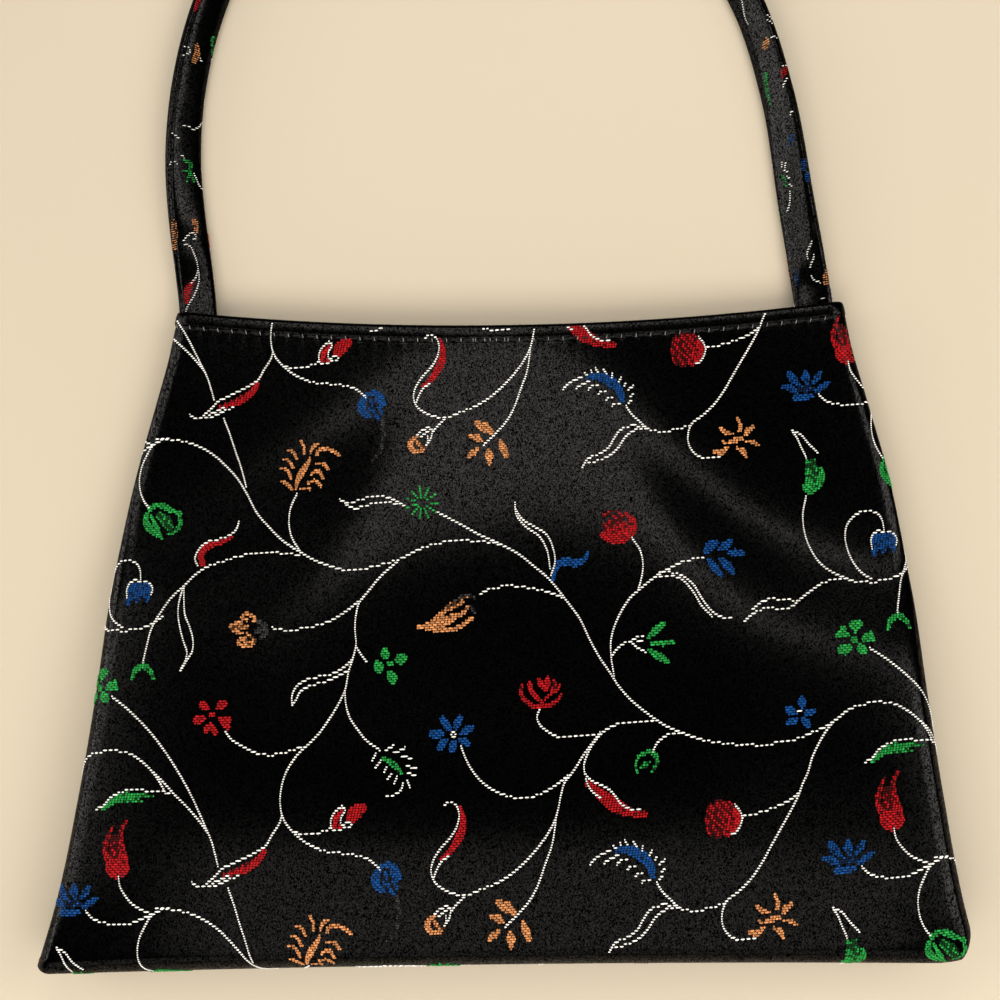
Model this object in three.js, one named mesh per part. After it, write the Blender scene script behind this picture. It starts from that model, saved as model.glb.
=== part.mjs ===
// A small flared evening bag of black brocade satin with a short strap, lying on its back.
// Millimetres, +Z up out of the front, +Y from the base towards the strap, +X to the right.
// Two cloth panels form a hollow pouch: they meet in one seam that runs down both sides and across the base.
// The strap is one flat padded band whose ends are caught between the two hems at the mouth's corners.
import * as THREE from "three";

// Driving sizes
const MOUTH_MID = 153.5;
const MOUTH_RISE = 5.5;
const BASE_ROLL = 8;
const CORNER_CUT = 8;
const CROWN = 2.5;
const SHOULDER_SHARE = 0.12;
const ROLL_POWER = 2.6;
const BACK_ROLL = 8;
const WALL = 1.6;
const HEM_DEPTH = 3.7;
const HEM_WALL = 2.3;
const HEM_PROUD = 0.5;
const HEM_STEP = 0.5;
const SEAM_GAP = 0.3;
const STRAP_WIDTH = 9.3;
const STRAP_THICK = 2.6;
const STRAP_POWER = 3;

// Cross-sections of the pouch. up is the distance from the base edge; half is half the width at the seam;
// seam is the seam's height; open is how far the seam parts to take the strap; crest is the front's height;
// roll is the width of the front's rounded shoulder beside the seam.
const SECTIONS = [
  { up: 0, half: 111, seam: 12.4, open: 0, crest: 26, roll: 11 },
  { up: 14, half: 107.3, seam: 12.4, open: 0, crest: 26.6, roll: 12 },
  { up: 40, half: 102.9, seam: 11.8, open: 0, crest: 25.6, roll: 14 },
  { up: 64, half: 100.0, seam: 10.6, open: 0, crest: 23.4, roll: 16 },
  { up: 90, half: 97.1, seam: 9.0, open: 0, crest: 20.2, roll: 17 },
  { up: 113, half: 93.4, seam: 7.2, open: 0, crest: 17.2, roll: 16 },
  { up: 136, half: 88.0, seam: 5.4, open: 0.5, crest: 14.2, roll: 13 },
  { up: 148, half: 85.2, seam: 4.3, open: 2.6, crest: 12.9, roll: 10 },
  { up: 159, half: 83.2, seam: 4.0, open: 2.9, crest: 12, roll: 7 },
];

// Soft hollows pressed into the front. x and up place the middle, wide and tall are its half sizes.
const DENTS = [
  { x: -6, up: 62, wide: 52, tall: 30, deep: 1.6 },
  { x: 40, up: 128, wide: 26, tall: 22, deep: 0.9 },
  { x: -58, up: 122, wide: 26, tall: 24, deep: 0.9 },
  { x: 70, up: 34, wide: 18, tall: 30, deep: 0.8 },
];

// The strap's centre line from its left end in the mouth to its right end. x is across, above is the distance
// from the mouth's corners, roll is how far its outer edge stands up, lift is its clearance from the table.
const STRAP_ROUTE = [
  { x: -78.4, above: -15, roll: 0, lift: 2.65 },
  { x: -77.9, above: -7, roll: 0, lift: 2.65 },
  { x: -77.9, above: 0, roll: 0, lift: 2.65 },
  { x: -79.2, above: 11, roll: 8, lift: 1.2 },
  { x: -81.2, above: 25, roll: 22, lift: 0 },
  { x: -82.4, above: 42, roll: 36, lift: 0 },
  { x: -81.2, above: 60, roll: 44, lift: 0 },
  { x: -77.0, above: 79, roll: 48, lift: 0 },
  { x: -69.6, above: 97, roll: 52, lift: 0 },
  { x: -56.6, above: 114.5, roll: 56, lift: 0 },
  { x: -37.5, above: 127.5, roll: 60, lift: 0 },
  { x: -13.5, above: 133.5, roll: 62, lift: 0 },
  { x: 11.5, above: 129.5, roll: 61, lift: 0 },
  { x: 33, above: 117.5, roll: 58, lift: 0 },
  { x: 50, above: 100, roll: 54, lift: 0 },
  { x: 62, above: 79, roll: 50, lift: 0 },
  { x: 69, above: 55, roll: 44, lift: 0 },
  { x: 73.0, above: 28, roll: 24, lift: 0 },
  { x: 75.4, above: 11, roll: 8, lift: 1.2 },
  { x: 76.8, above: 0, roll: 0, lift: 2.65 },
  { x: 77.4, above: -7, roll: 0, lift: 2.65 },
  { x: 77.9, above: -15, roll: 0, lift: 2.65 },
];

// Mesh counts
const FLAT_COLUMNS = 14;
const ROLL_COLUMNS = 5;
const BASE_ROWS = 6;
const PANEL_ROWS = 13;
const STRAP_STEPS = 66;
const STRAP_SIDES = 12;

// A table's row at a place along its key column, joined by a smooth cubic through the rows.
function rowAt(table, key, place) {
  const passed = table.filter((row) => row[key] <= place).length;
  const at = THREE.MathUtils.clamp(passed - 1, 0, table.length - 2);
  const span = table[at + 1][key] - table[at][key];
  const share = (place - table[at][key]) / span;
  const slope = (column, index) => {
    const before = table[Math.max(index - 1, 0)];
    const after = table[Math.min(index + 1, table.length - 1)];
    return (after[column] - before[column]) / (after[key] - before[key]);
  };
  const value = (column) => {
    const start = table[at][column];
    const end = table[at + 1][column];
    const cubed = share ** 3;
    const squared = share ** 2;
    return (
      start * (2 * cubed - 3 * squared + 1) +
      end * (3 * squared - 2 * cubed) +
      slope(column, at) * span * (cubed - 2 * squared + share) +
      slope(column, at + 1) * span * (cubed - squared)
    );
  };
  return Object.fromEntries(Object.keys(table[0]).map((column) => [column, value(column)]));
}

// How deep the soft hollows are at a place on the front, each a smooth round dip.
function dentAt(x, up) {
  return DENTS.reduce((depth, dent) => {
    const away = ((x - dent.x) / dent.wide) ** 2 + ((up - dent.up) / dent.tall) ** 2;
    return depth + dent.deep * Math.exp(-away);
  }, 0);
}

// A rounded shoulder: run goes from 0 to 1 outwards as rise falls from 1 to 0.
function shoulder(turn) {
  const angle = turn * Math.PI / 2;
  return {
    run: Math.sin(angle) ** (2 / ROLL_POWER),
    rise: turn === 1 ? 0 : Math.cos(angle) ** (2 / ROLL_POWER),
  };
}

// Columns across a panel: flat is the share of the flat middle, turn is the way round a shoulder.
function columnsAcross() {
  const flats = Array.from({ length: FLAT_COLUMNS + 1 }, (_, i) => ({
    flat: 2 * i / FLAT_COLUMNS - 1,
    turn: 0,
  }));
  const turns = Array.from({ length: ROLL_COLUMNS }, (_, i) => (i + 1) / ROLL_COLUMNS);
  const left = turns.map((turn) => ({ flat: -1, turn })).reverse();
  const right = turns.map((turn) => ({ flat: 1, turn }));
  return [...left, ...flats, ...right];
}

// Rows from the base seam to the mouth: turn is the way round the base edge, share is the way up the panel,
// and hem tells the rows of the turned edge, which sits back from the mouth.
function rowsUp() {
  const base = Array.from({ length: BASE_ROWS }, (_, i) => ({ turn: 1 - i / BASE_ROWS, share: 0 }));
  const panel = Array.from({ length: PANEL_ROWS + 1 }, (_, i) => ({ turn: 0, share: i / PANEL_ROWS }));
  const hemRow = (short, hem) => ({ turn: 0, share: 1, short, hem });
  const body = [...base, ...panel].map((row) => ({ ...row, short: HEM_DEPTH + HEM_STEP, hem: false }));
  return [...body, hemRow(HEM_DEPTH, true), hemRow(HEM_DEPTH / 2, true), hemRow(0, true)];
}

// Where a row and a column cross on the pouch, before its height: across, up, and how full the panel is there.
function crossing(row, column, shoulderWidth, inset) {
  const base = shoulder(row.turn);
  const side = shoulder(column.turn);
  const outward = Math.abs(column.flat) * (1 - SHOULDER_SHARE * (1 - side.run));
  const mouth = MOUTH_MID + MOUTH_RISE * outward ** 2 - row.short;
  const up = BASE_ROLL + (mouth - BASE_ROLL) * row.share - (BASE_ROLL - inset) * base.run;
  const section = rowAt(SECTIONS, "up", up);
  const half = section.half - CORNER_CUT * (1 - base.rise) - inset;
  const roll = shoulderWidth(section);
  const x = Math.sign(column.flat) * (Math.abs(column.flat) * (half - roll) + roll * side.run);
  return { x, up, section, outward, full: side.rise * base.rise };
}

// The front panel's outer skin at inset 0, and its inner skin at the wall's thickness.
function frontPoint(row, column, inner) {
  const inset = inner ? (row.hem ? HEM_WALL : WALL) : 0;
  const at = crossing(row, column, (section) => section.roll, inset);
  const seam = at.section.seam + (SEAM_GAP + at.section.open) / 2;
  const proud = row.hem && !inner ? HEM_PROUD : 0;
  const crest = at.section.crest - CROWN * at.outward ** 2 - dentAt(at.x, at.up) + proud - inset;
  return new THREE.Vector3(at.x, at.up, seam + (crest - seam) * at.full);
}

// The back panel's skins: flat on the table, then turned up to the seam.
function backPoint(row, column, inner) {
  const inset = inner ? (row.hem ? HEM_WALL : WALL) : 0;
  const at = crossing(row, column, () => BACK_ROLL, inset);
  const seam = Math.max(at.section.seam - (SEAM_GAP + at.section.open) / 2, HEM_WALL);
  return new THREE.Vector3(at.x, at.up, inset + (seam - inset) * (1 - at.full));
}

// A closed mesh from a grid of outer points and the same grid of inner points, joined round their rims.
function shellGeometry(pointAt, outwardIsUp) {
  const rows = rowsUp();
  const columns = columnsAcross();
  const width = columns.length;
  const layer = rows.length * width;
  const points = [false, true].flatMap((inner) =>
    rows.flatMap((row) => columns.map((column) => pointAt(row, column, inner))));
  const triangles = [];
  const quad = (a, b, c, d) => triangles.push(a, b, c, a, c, d);
  for (let r = 0; r < rows.length - 1; r += 1) {
    for (let c = 0; c < width - 1; c += 1) {
      const corner = r * width + c;
      quad(corner, corner + 1, corner + width + 1, corner + width);
      const under = layer + corner;
      quad(under, under + width, under + width + 1, under + 1);
    }
  }
  const along = (start, step, count) => Array.from({ length: count }, (_, i) => start + i * step);
  const rim = [
    ...along(0, 1, width - 1),
    ...along(width - 1, width, rows.length - 1),
    ...along(layer - 1, -1, width - 1),
    ...along(layer - width, -width, rows.length - 1),
  ];
  rim.forEach((here, i) => {
    const next = rim[(i + 1) % rim.length];
    quad(next, here, layer + here, layer + next);
  });
  if (!outwardIsUp) {
    triangles.reverse();
  }
  return indexedGeometry(points, triangles);
}

function indexedGeometry(points, triangles) {
  const geometry = new THREE.BufferGeometry().setFromPoints(points);
  geometry.setIndex(triangles);
  geometry.computeVertexNormals();
  return geometry;
}

// The strap's rounded flat section swept along its route: each ring is rolled about the route, then set down so
// that its lowest point keeps its lift above the table.
function strapGeometry() {
  const corners = MOUTH_MID + MOUTH_RISE;
  const route = new THREE.CatmullRomCurve3(
    STRAP_ROUTE.map((stop) => new THREE.Vector3(stop.x, corners + stop.above, 0)), false, "centripetal");
  const stops = STRAP_ROUTE.map((stop, i) => ({ ...stop, at: i / (STRAP_ROUTE.length - 1) }));
  const points = [];
  for (let step = 0; step <= STRAP_STEPS; step += 1) {
    const at = step / STRAP_STEPS;
    const centre = route.getPoint(at);
    const along = route.getTangent(at).setZ(0).normalize();
    const stop = rowAt(stops, "at", at);
    const roll = THREE.MathUtils.degToRad(stop.roll);
    const outward = new THREE.Vector3(-along.y, along.x, 0);
    const across = outward.clone().multiplyScalar(Math.cos(roll)).setZ(Math.sin(roll));
    const through = outward.multiplyScalar(-Math.sin(roll)).setZ(Math.cos(roll));
    const ring = Array.from({ length: STRAP_SIDES }, (_, side) => {
      const angle = 2 * Math.PI * (side + 0.5) / STRAP_SIDES;
      const bulge = (value) => Math.sign(value) * Math.abs(value) ** (2 / STRAP_POWER);
      return centre.clone()
        .addScaledVector(across, STRAP_WIDTH / 2 * bulge(Math.cos(angle)))
        .addScaledVector(through, STRAP_THICK / 2 * bulge(Math.sin(angle)));
    });
    const lowest = Math.min(...ring.map((point) => point.z));
    ring.forEach((point) => points.push(point.setZ(point.z - lowest + Math.max(stop.lift, 0))));
  }
  const triangles = [];
  for (let step = 0; step < STRAP_STEPS; step += 1) {
    for (let side = 0; side < STRAP_SIDES; side += 1) {
      const here = step * STRAP_SIDES + side;
      const beside = step * STRAP_SIDES + (side + 1) % STRAP_SIDES;
      triangles.push(here, beside, beside + STRAP_SIDES, here, beside + STRAP_SIDES, here + STRAP_SIDES);
    }
  }
  const end = STRAP_STEPS * STRAP_SIDES;
  for (let side = 1; side < STRAP_SIDES - 1; side += 1) {
    triangles.push(0, side + 1, side, end, end + side, end + side + 1);
  }
  return indexedGeometry(points, triangles);
}

function clothPiece(name, geometry, colour, roughness) {
  const material = new THREE.MeshStandardMaterial({ color: colour, roughness, metalness: 0 });
  const piece = new THREE.Mesh(geometry, material);
  piece.name = name;
  return piece;
}

const bag = new THREE.Group();
bag.add(clothPiece("front_panel", shellGeometry(frontPoint, true), 0x15151a, 0.42));
bag.add(clothPiece("back_panel", shellGeometry(backPoint, false), 0x131317, 0.45));
bag.add(clothPiece("strap", strapGeometry(), 0x17171c, 0.4));

// The origin is under the middle of the whole object, on the surface it lies on.
const extent = new THREE.Box3().setFromObject(bag);
const middle = extent.getCenter(new THREE.Vector3());
bag.position.set(-middle.x, -middle.y, -extent.min.z);

export default bag;
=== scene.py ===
"""A small flared handbag of black brocade satin on its back: two panels, a strap and woven flowers."""

import math

import bpy
import numpy as np
from mathutils import Matrix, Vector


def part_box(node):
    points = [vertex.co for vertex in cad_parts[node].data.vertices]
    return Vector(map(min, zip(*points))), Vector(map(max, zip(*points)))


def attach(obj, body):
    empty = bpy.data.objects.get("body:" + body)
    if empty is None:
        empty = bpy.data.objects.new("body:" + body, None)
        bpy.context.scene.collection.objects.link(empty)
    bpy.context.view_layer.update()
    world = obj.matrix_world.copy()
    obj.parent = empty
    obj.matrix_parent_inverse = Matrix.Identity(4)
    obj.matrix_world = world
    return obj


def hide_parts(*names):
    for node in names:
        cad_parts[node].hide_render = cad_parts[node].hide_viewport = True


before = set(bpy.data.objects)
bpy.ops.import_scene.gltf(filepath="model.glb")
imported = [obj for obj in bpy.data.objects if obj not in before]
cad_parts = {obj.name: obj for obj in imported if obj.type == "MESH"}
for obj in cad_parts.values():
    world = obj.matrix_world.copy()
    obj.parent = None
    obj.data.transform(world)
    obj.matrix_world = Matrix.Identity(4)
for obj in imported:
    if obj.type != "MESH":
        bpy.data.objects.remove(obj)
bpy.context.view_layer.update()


# View: nearly straight down, from a little towards the base, with the bag turned slightly in the frame.
# Lengths are in millimetres in the CAD frame, and the frame is FRAME_PIXELS wide and high.

MM = 0.001
FRAME_PIXELS = 1000
SENSOR_WIDTH = 36.0
VIEW_PLACE = np.array([20.7, -95.6, 480.0])
VIEW_TILT = math.radians(7.14)
VIEW_ROLL = math.radians(-0.64)
VIEW_YAW = math.radians(2.68)
VIEW_FOCAL = 1937.0

level_right = np.array([1.0, 0.0, 0.0])
tilted_up = np.array([0.0, math.cos(VIEW_TILT), math.sin(VIEW_TILT)])
tilted_ahead = np.array([0.0, math.sin(VIEW_TILT), -math.cos(VIEW_TILT)])
yawed_right = level_right * math.cos(VIEW_YAW) + tilted_ahead * math.sin(VIEW_YAW)
view_ahead = tilted_ahead * math.cos(VIEW_YAW) - level_right * math.sin(VIEW_YAW)
view_right = yawed_right * math.cos(VIEW_ROLL) + tilted_up * math.sin(VIEW_ROLL)
view_up = tilted_up * math.cos(VIEW_ROLL) - yawed_right * math.sin(VIEW_ROLL)

camera_data = bpy.data.cameras.new("view")
camera_data.sensor_width = SENSOR_WIDTH
camera_data.lens = VIEW_FOCAL / FRAME_PIXELS * SENSOR_WIDTH
camera = bpy.data.objects.new("view", camera_data)
bpy.context.scene.collection.objects.link(camera)
turn = Matrix([view_right, view_up, -view_ahead]).transposed().to_4x4()
camera.matrix_world = Matrix.Translation(VIEW_PLACE * MM) @ turn
bpy.context.scene.camera = camera


# Front panel: one cut of black satin with a woven pattern. It is sewn to the back panel round the sides and
# the base with the seam turned in, rolls over those edges, and lies soft and slightly dished over the
# hollow. The mouth edge is folded to the inside and topstitched as a hem.

front_low, front_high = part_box("front_panel")
back_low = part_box("back_panel")[0]
BAG_ORIGIN = np.array([(front_low.x + front_high.x) / 2, front_low.y, back_low.z])

MOUTH_MID = 153.5
MOUTH_RISE = 5.5
BASE_ROLL = 6.0
CORNER_CUT_LEFT = -1.4
CORNER_CUT_RIGHT = 0.5
CORNER_FROM = 0.88
CORNER_LIFT_RIGHT = 3.2
CORNER_ROUND_LEFT = 2.5
CORNER_ROUND_RIGHT = 4.0
BASE_MIDDLE = 0.3
BASE_LEAN = 1.25
BASE_BOW = -1.25
BASE_FADE = 3
LEAN_LOW = -0.7
LEAN_HIGH = 0.5
CORNER_FADE = 12
CROWN = 6.0
CROWN_BEYOND = 0.4
SHOULDER_SHARE = 0.06
ROLL_POWER = 2.6
FRONT_ROLL = 4.0
SEAM_GAP = 0.3

SIDE_COLUMNS = 24
FACE_COLUMNS = 189
BASE_ROWS = 20
BODY_ROWS = 95
HEM_ROWS = 31
HEM_FROM = 0.955
FOLD_ROWS = 8
INSIDE_ROWS = 6

# Heights above the base, in millimetres, with what the pouch measures there.
SECTIONS = np.array(
    [
        # up, half width, seam height, seam opening, crest height
        (0, 111, 12.4, 0, 26),
        (14, 107.3, 12.4, 0, 26.6),
        (40, 102.9, 11.8, 0, 25.6),
        (64, 100, 10.6, 0, 23.4),
        (90, 97.5, 9, 0, 20.2),
        (113, 94, 7.2, 0, 17.2),
        (136, 88.3, 5.4, 0.5, 14.2),
        (148, 85.2, 4.3, 2.6, 12.9),
        (159, 83.2, 4, 2.9, 12),
    ]
)

# The full middle of the pouch ends in a soft step along an arch, above which the satin lies flat to the
# corners.
ARCH_SIDE = 92.0
ARCH_TOP = 56.0
ARCH_HALF = 46.0
ARCH_LEAN = -0.06
ARCH_SOFT = 17.0
CORNER_LEVEL = 11.6

# Shallow dishes where the satin sinks over the hollow.
DENTS = np.array(
    [
        # x, up, half width, half height, depth
        (-6, 66, 60, 26, 1.3),
        (70, 34, 18, 30, 0.8),
    ]
)

HEM_DEPTH = 3.7
HEM_PUFF = 0.25
HEM_PUFF_DROP = 1.6
HEM_FOLD = 0.9
HEM_INSIDE = 4.5
STITCH_PITCH = 3.6
STITCH_DROP = 3.1
STITCH_SINK = 0.3
SINK_BETWEEN = 0.45
SINK_REACH = 0.42
PUCKER_HEIGHT = 0.14
PUCKER_REACH = 2.4
TUCK_REACH = 1.1
TUCK_DEPTH = 0.7
CLOTH_THICK = 0.7


def smooth_rows(rows, values, at):
    """Values between the rows of a table: a cubic in each gap, whose slope at a row is that of the parabola
    through the row and its two neighbours, and at the first and last rows that of the gap beside them."""
    slopes = np.gradient(values, rows, axis=0)
    place = np.clip(np.searchsorted(rows, at, side="right") - 1, 0, len(rows) - 2)
    step = (rows[place + 1] - rows[place])[..., None]
    t = np.clip((at - rows[place])[..., None] / step, 0, 1)
    value = (2 * t**3 - 3 * t**2 + 1) * values[place]
    value = value + (3 * t**2 - 2 * t**3) * values[place + 1]
    value = value + (t**3 - 2 * t**2 + t) * step * slopes[place]
    return value + (t**3 - t**2) * step * slopes[place + 1]


def shoulder(turn):
    """Way out over the roll of an edge, from 0 to 1: a sine of the turn round it, to the power of 2 over
    ROLL_POWER, as on a quarter of a superellipse."""
    return np.sin(turn * np.pi / 2) ** (2 / ROLL_POWER)


def panel_plan(side_roll):
    """Plan of a panel's grid. Across, x runs out over the flat share of the width and then round the side's
    roll. Along, up runs from the base seam over the base's roll to the mouth, which rises with the square of
    the way out; the base's corners are rounded, and the right one lifted. full is 1 on the face and 0 at the
    seams, a superellipse of the way out over both rolls, and drop is the way down from the mouth."""
    side_turns = np.linspace(1, 0, SIDE_COLUMNS + 1)[:-1]
    left_edge = np.full(SIDE_COLUMNS, -1.0)
    flat = np.concatenate([left_edge, np.linspace(-1, 1, FACE_COLUMNS), -left_edge])[None, :]
    side = np.concatenate([side_turns, np.zeros(FACE_COLUMNS), side_turns[::-1]])[None, :]
    body_heights = np.linspace(0, HEM_FROM, BODY_ROWS + 1)[:-1]
    heights = np.concatenate([body_heights, np.linspace(HEM_FROM, 1, HEM_ROWS)])
    base = np.concatenate([np.linspace(1, 0, BASE_ROWS + 1)[:-1], np.zeros(len(heights))])[:, None]
    share = np.concatenate([np.zeros(BASE_ROWS), heights])[:, None]
    side_run = shoulder(side)
    base_run = shoulder(base)
    beyond = np.sqrt(side_run**2 + base_run**2 - (side_run * base_run) ** 2)
    full = np.maximum(1 - beyond**ROLL_POWER, 0) ** (1 / ROLL_POWER)
    corner_in = side_run * (1 - np.sqrt(1 - base_run**2 / 2))
    corner_up = base_run * (1 - np.sqrt(1 - side_run**2 / 2))
    outward = np.abs(flat) * (1 - SHOULDER_SHARE * (1 - side_run)) + 0 * share
    mouth = MOUTH_MID + MOUTH_RISE * outward**2
    up = BASE_ROLL + (mouth - BASE_ROLL) * share - BASE_ROLL * (base_run - corner_up)
    corner = np.clip((outward - CORNER_FROM) / (1 - CORNER_FROM), 0, 1) ** 2
    corner_lift = np.where(flat < 0, 0, CORNER_LIFT_RIGHT)
    up = up + corner_lift * corner * (1 - share) ** CORNER_FADE
    up = up + (BASE_MIDDLE + BASE_LEAN * flat + BASE_BOW * flat**2) * (1 - share) ** BASE_FADE
    half, seam, opening, crest = np.moveaxis(smooth_rows(SECTIONS[:, 0], SECTIONS[:, 1:], up), -1, 0)
    half = half - np.where(flat < 0, CORNER_CUT_LEFT, CORNER_CUT_RIGHT) * base_run**2
    corner_round = np.where(flat < 0, CORNER_ROUND_LEFT, CORNER_ROUND_RIGHT)
    wide = np.abs(flat) * (half - side_roll) + side_roll * side_run - corner_round * corner_in
    return {
        "x": np.sign(flat) * wide + LEAN_HIGH + (LEAN_LOW - LEAN_HIGH) * (1 - share) ** BASE_FADE,
        "up": up,
        "full": full,
        "drop": (mouth - BASE_ROLL) * (1 - share) + BASE_ROLL * base_run,
        "outward": outward,
        "mouth": mouth[-1],
        "seam": seam,
        "gap": (SEAM_GAP + opening) / 2,
        "crest": crest,
    }


def unit(vectors):
    """Vectors of length 1 in the same directions."""
    return vectors / np.linalg.norm(vectors, axis=-1, keepdims=True)


def grid_normals(points):
    """Unit normals of a grid of points: the cross product of its two central differences."""
    return unit(np.cross(np.gradient(points, axis=1), np.gradient(points, axis=0)))


def panel_normals(points):
    """Grid normals, with each base corner's taken from its two neighbours, since the two differences are in
    line there."""
    normals = grid_normals(points)
    normals[0, 0] = unit(normals[0, 1] + normals[1, 0])
    normals[0, -1] = unit(normals[0, -2] + normals[1, -1])
    return normals


def grid_lengths(points):
    """Summed chord lengths of a grid of points, along each row and along each column."""
    along_row = np.linalg.norm(np.diff(points, axis=1), axis=-1)
    along_row = np.concatenate([np.zeros((points.shape[0], 1)), np.cumsum(along_row, axis=1)], axis=1)
    along_column = np.linalg.norm(np.diff(points, axis=0), axis=-1)
    along_column = np.concatenate([np.zeros((1, points.shape[1])), np.cumsum(along_column, axis=0)])
    return along_row, along_column


def hem_relief(x, drop):
    """Height of the hem over the cloth: a half-round puff down to HEM_DEPTH, sunk along the stitch row, most
    at each needle hole, with puckers that die out below it."""
    puff = HEM_PUFF * np.sqrt(np.clip(1 - ((drop - HEM_PUFF_DROP) / (HEM_DEPTH - HEM_PUFF_DROP)) ** 2, 0, 1))
    beat = 0.5 + 0.5 * np.cos(2 * np.pi * x / STITCH_PITCH)
    along_row = SINK_BETWEEN + (1 - SINK_BETWEEN) * beat
    sink = STITCH_SINK * along_row * np.exp(-(((drop - STITCH_DROP) / SINK_REACH) ** 2))
    pucker = PUCKER_HEIGHT * (beat - 0.5) * np.exp(-np.clip(drop - HEM_DEPTH, 0, None) / PUCKER_REACH)
    return puff - sink - pucker * (drop > STITCH_DROP)


def seam_tuck(points, normals):
    """Draws a sheet's base and side edges in along its normals, by a bell curve of the way from the edge, so
    that two sheets meet in a rounded groove."""
    from_left, from_base = grid_lengths(points)
    from_side = np.minimum(from_left, from_left[:, -1:] - from_left)
    nearest = np.minimum(from_base, from_side)
    draw = TUCK_DEPTH * np.exp(-((nearest / TUCK_REACH) ** 2))
    return points - normals * draw[..., None]


def fold_hem(points, normals):
    """Adds the hem's rows to a sheet: a half circle of radius HEM_FOLD over the mouth edge towards the
    inside, then straight down the inside for HEM_INSIDE."""
    rise = unit(points[-1] - points[-2])
    angles = np.linspace(0, np.pi, FOLD_ROWS + 1)[1:, None, None]
    inward = HEM_FOLD * (1 - np.cos(angles))
    fold = points[-1] - normals[-1] * inward + rise * HEM_FOLD * np.sin(angles)
    down = np.linspace(0, HEM_INSIDE, INSIDE_ROWS + 1)[1:, None, None]
    return np.concatenate([points, fold, fold[-1] - rise * down])


def cloth_places(points):
    """Millimetres over the flat cloth for each grid point: across from the middle column, and up from the
    base."""
    across, along = grid_lengths(points)
    return np.stack([across - across[:, points.shape[1] // 2][:, None], along], axis=-1)


def hung_places(points, mouth):
    """The cloth places with up measured down each column from the mouth's height."""
    across, up = np.moveaxis(cloth_places(points), -1, 0)
    return np.stack([across, up - up[-1] + mouth], axis=-1)


def grid_object(name, points, places, material, flip=False):
    """Mesh object of a grid of points in bag millimetres, with their cloth places as its UV map."""
    rows, columns = points.shape[:2]
    index = np.arange(rows * columns).reshape(rows, columns)
    corners = [index[:-1, :-1], index[:-1, 1:], index[1:, 1:], index[1:, :-1]]
    quads = np.stack(corners, axis=-1).reshape(-1, 4)
    quads = quads[:, ::-1] if flip else quads
    mesh = bpy.data.meshes.new(name)
    mesh.from_pydata((points.reshape(-1, 3) * MM + BAG_ORIGIN).tolist(), [], quads.tolist())
    layer = mesh.uv_layers.new(name="cloth")
    layer.data.foreach_set("uv", places.reshape(-1, 2)[quads.ravel()].astype(np.float32).ravel())
    mesh.polygons.foreach_set("use_smooth", np.ones(len(quads), dtype=bool))
    mesh.materials.append(material)
    piece = bpy.data.objects.new(name, mesh)
    bpy.context.scene.collection.objects.link(piece)
    return piece


class Wire:
    """One socket of a material's nodes. Arithmetic on wires and numbers adds Math nodes."""

    def __init__(self, tree, socket):
        self.tree = tree
        self.socket = socket

    def add(self, kind, settings, inputs, output=0):
        """One output of a new node of this kind: its settings are set first, then its inputs."""
        node = self.tree.nodes.new(kind)
        for name, value in settings.items():
            setattr(node, name, value)
        for key, value in inputs.items():
            if isinstance(value, Wire):
                self.tree.links.new(value.socket, node.inputs[key])
            else:
                node.inputs[key].default_value = value
        return Wire(self.tree, node.outputs[output])

    def math(self, operation, first, second):
        return self.add("ShaderNodeMath", {"operation": operation}, {0: first, 1: second})

    def mix(self, first, second):
        """A colour between two, by this wire from 0 to 1; 6 and 7 are the Mix node's colour sockets."""
        return self.add("ShaderNodeMix", {"data_type": "RGBA"}, {0: self, 6: first, 7: second}, 2)

    def spread(self, low, high):
        """This wire's part between low and high, stretched to 0 to 1."""
        return self.add("ShaderNodeMapRange", {}, {"Value": self, "From Min": low, "From Max": high})

    def feed(self, shader, name):
        self.tree.links.new(self.socket, shader.inputs[name])

    def __add__(self, other):
        return self.math("ADD", self, other)

    def __radd__(self, other):
        return self.math("ADD", other, self)

    def __sub__(self, other):
        return self.math("SUBTRACT", self, other)

    def __rsub__(self, other):
        return self.math("SUBTRACT", other, self)

    def __mul__(self, other):
        return self.math("MULTIPLY", self, other)

    def __rmul__(self, other):
        return self.math("MULTIPLY", other, self)


def new_finish(name):
    """A material, its Principled shader, and a wire of its Object coordinates to start from."""
    material = bpy.data.materials.new(name)
    material.use_nodes = True
    tree = material.node_tree
    start = tree.nodes.new("ShaderNodeTexCoord")
    return material, tree.nodes["Principled BSDF"], Wire(tree, start.outputs["Object"])


SATIN_DARK = (0.00006, 0.00005, 0.00006)
SATIN_LIGHT = (0.0004, 0.00036, 0.00036)
SATIN_ROUGH = 0.16
SATIN_GLOSS = 0.43
SPECKLES_PER_MM = (5.0, 3.6, 1.0)
SPECKLE_DULL = 0.2
MOTTLE_PER_MM = 0.05
MOTTLE_ROUGH = 0.08


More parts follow.
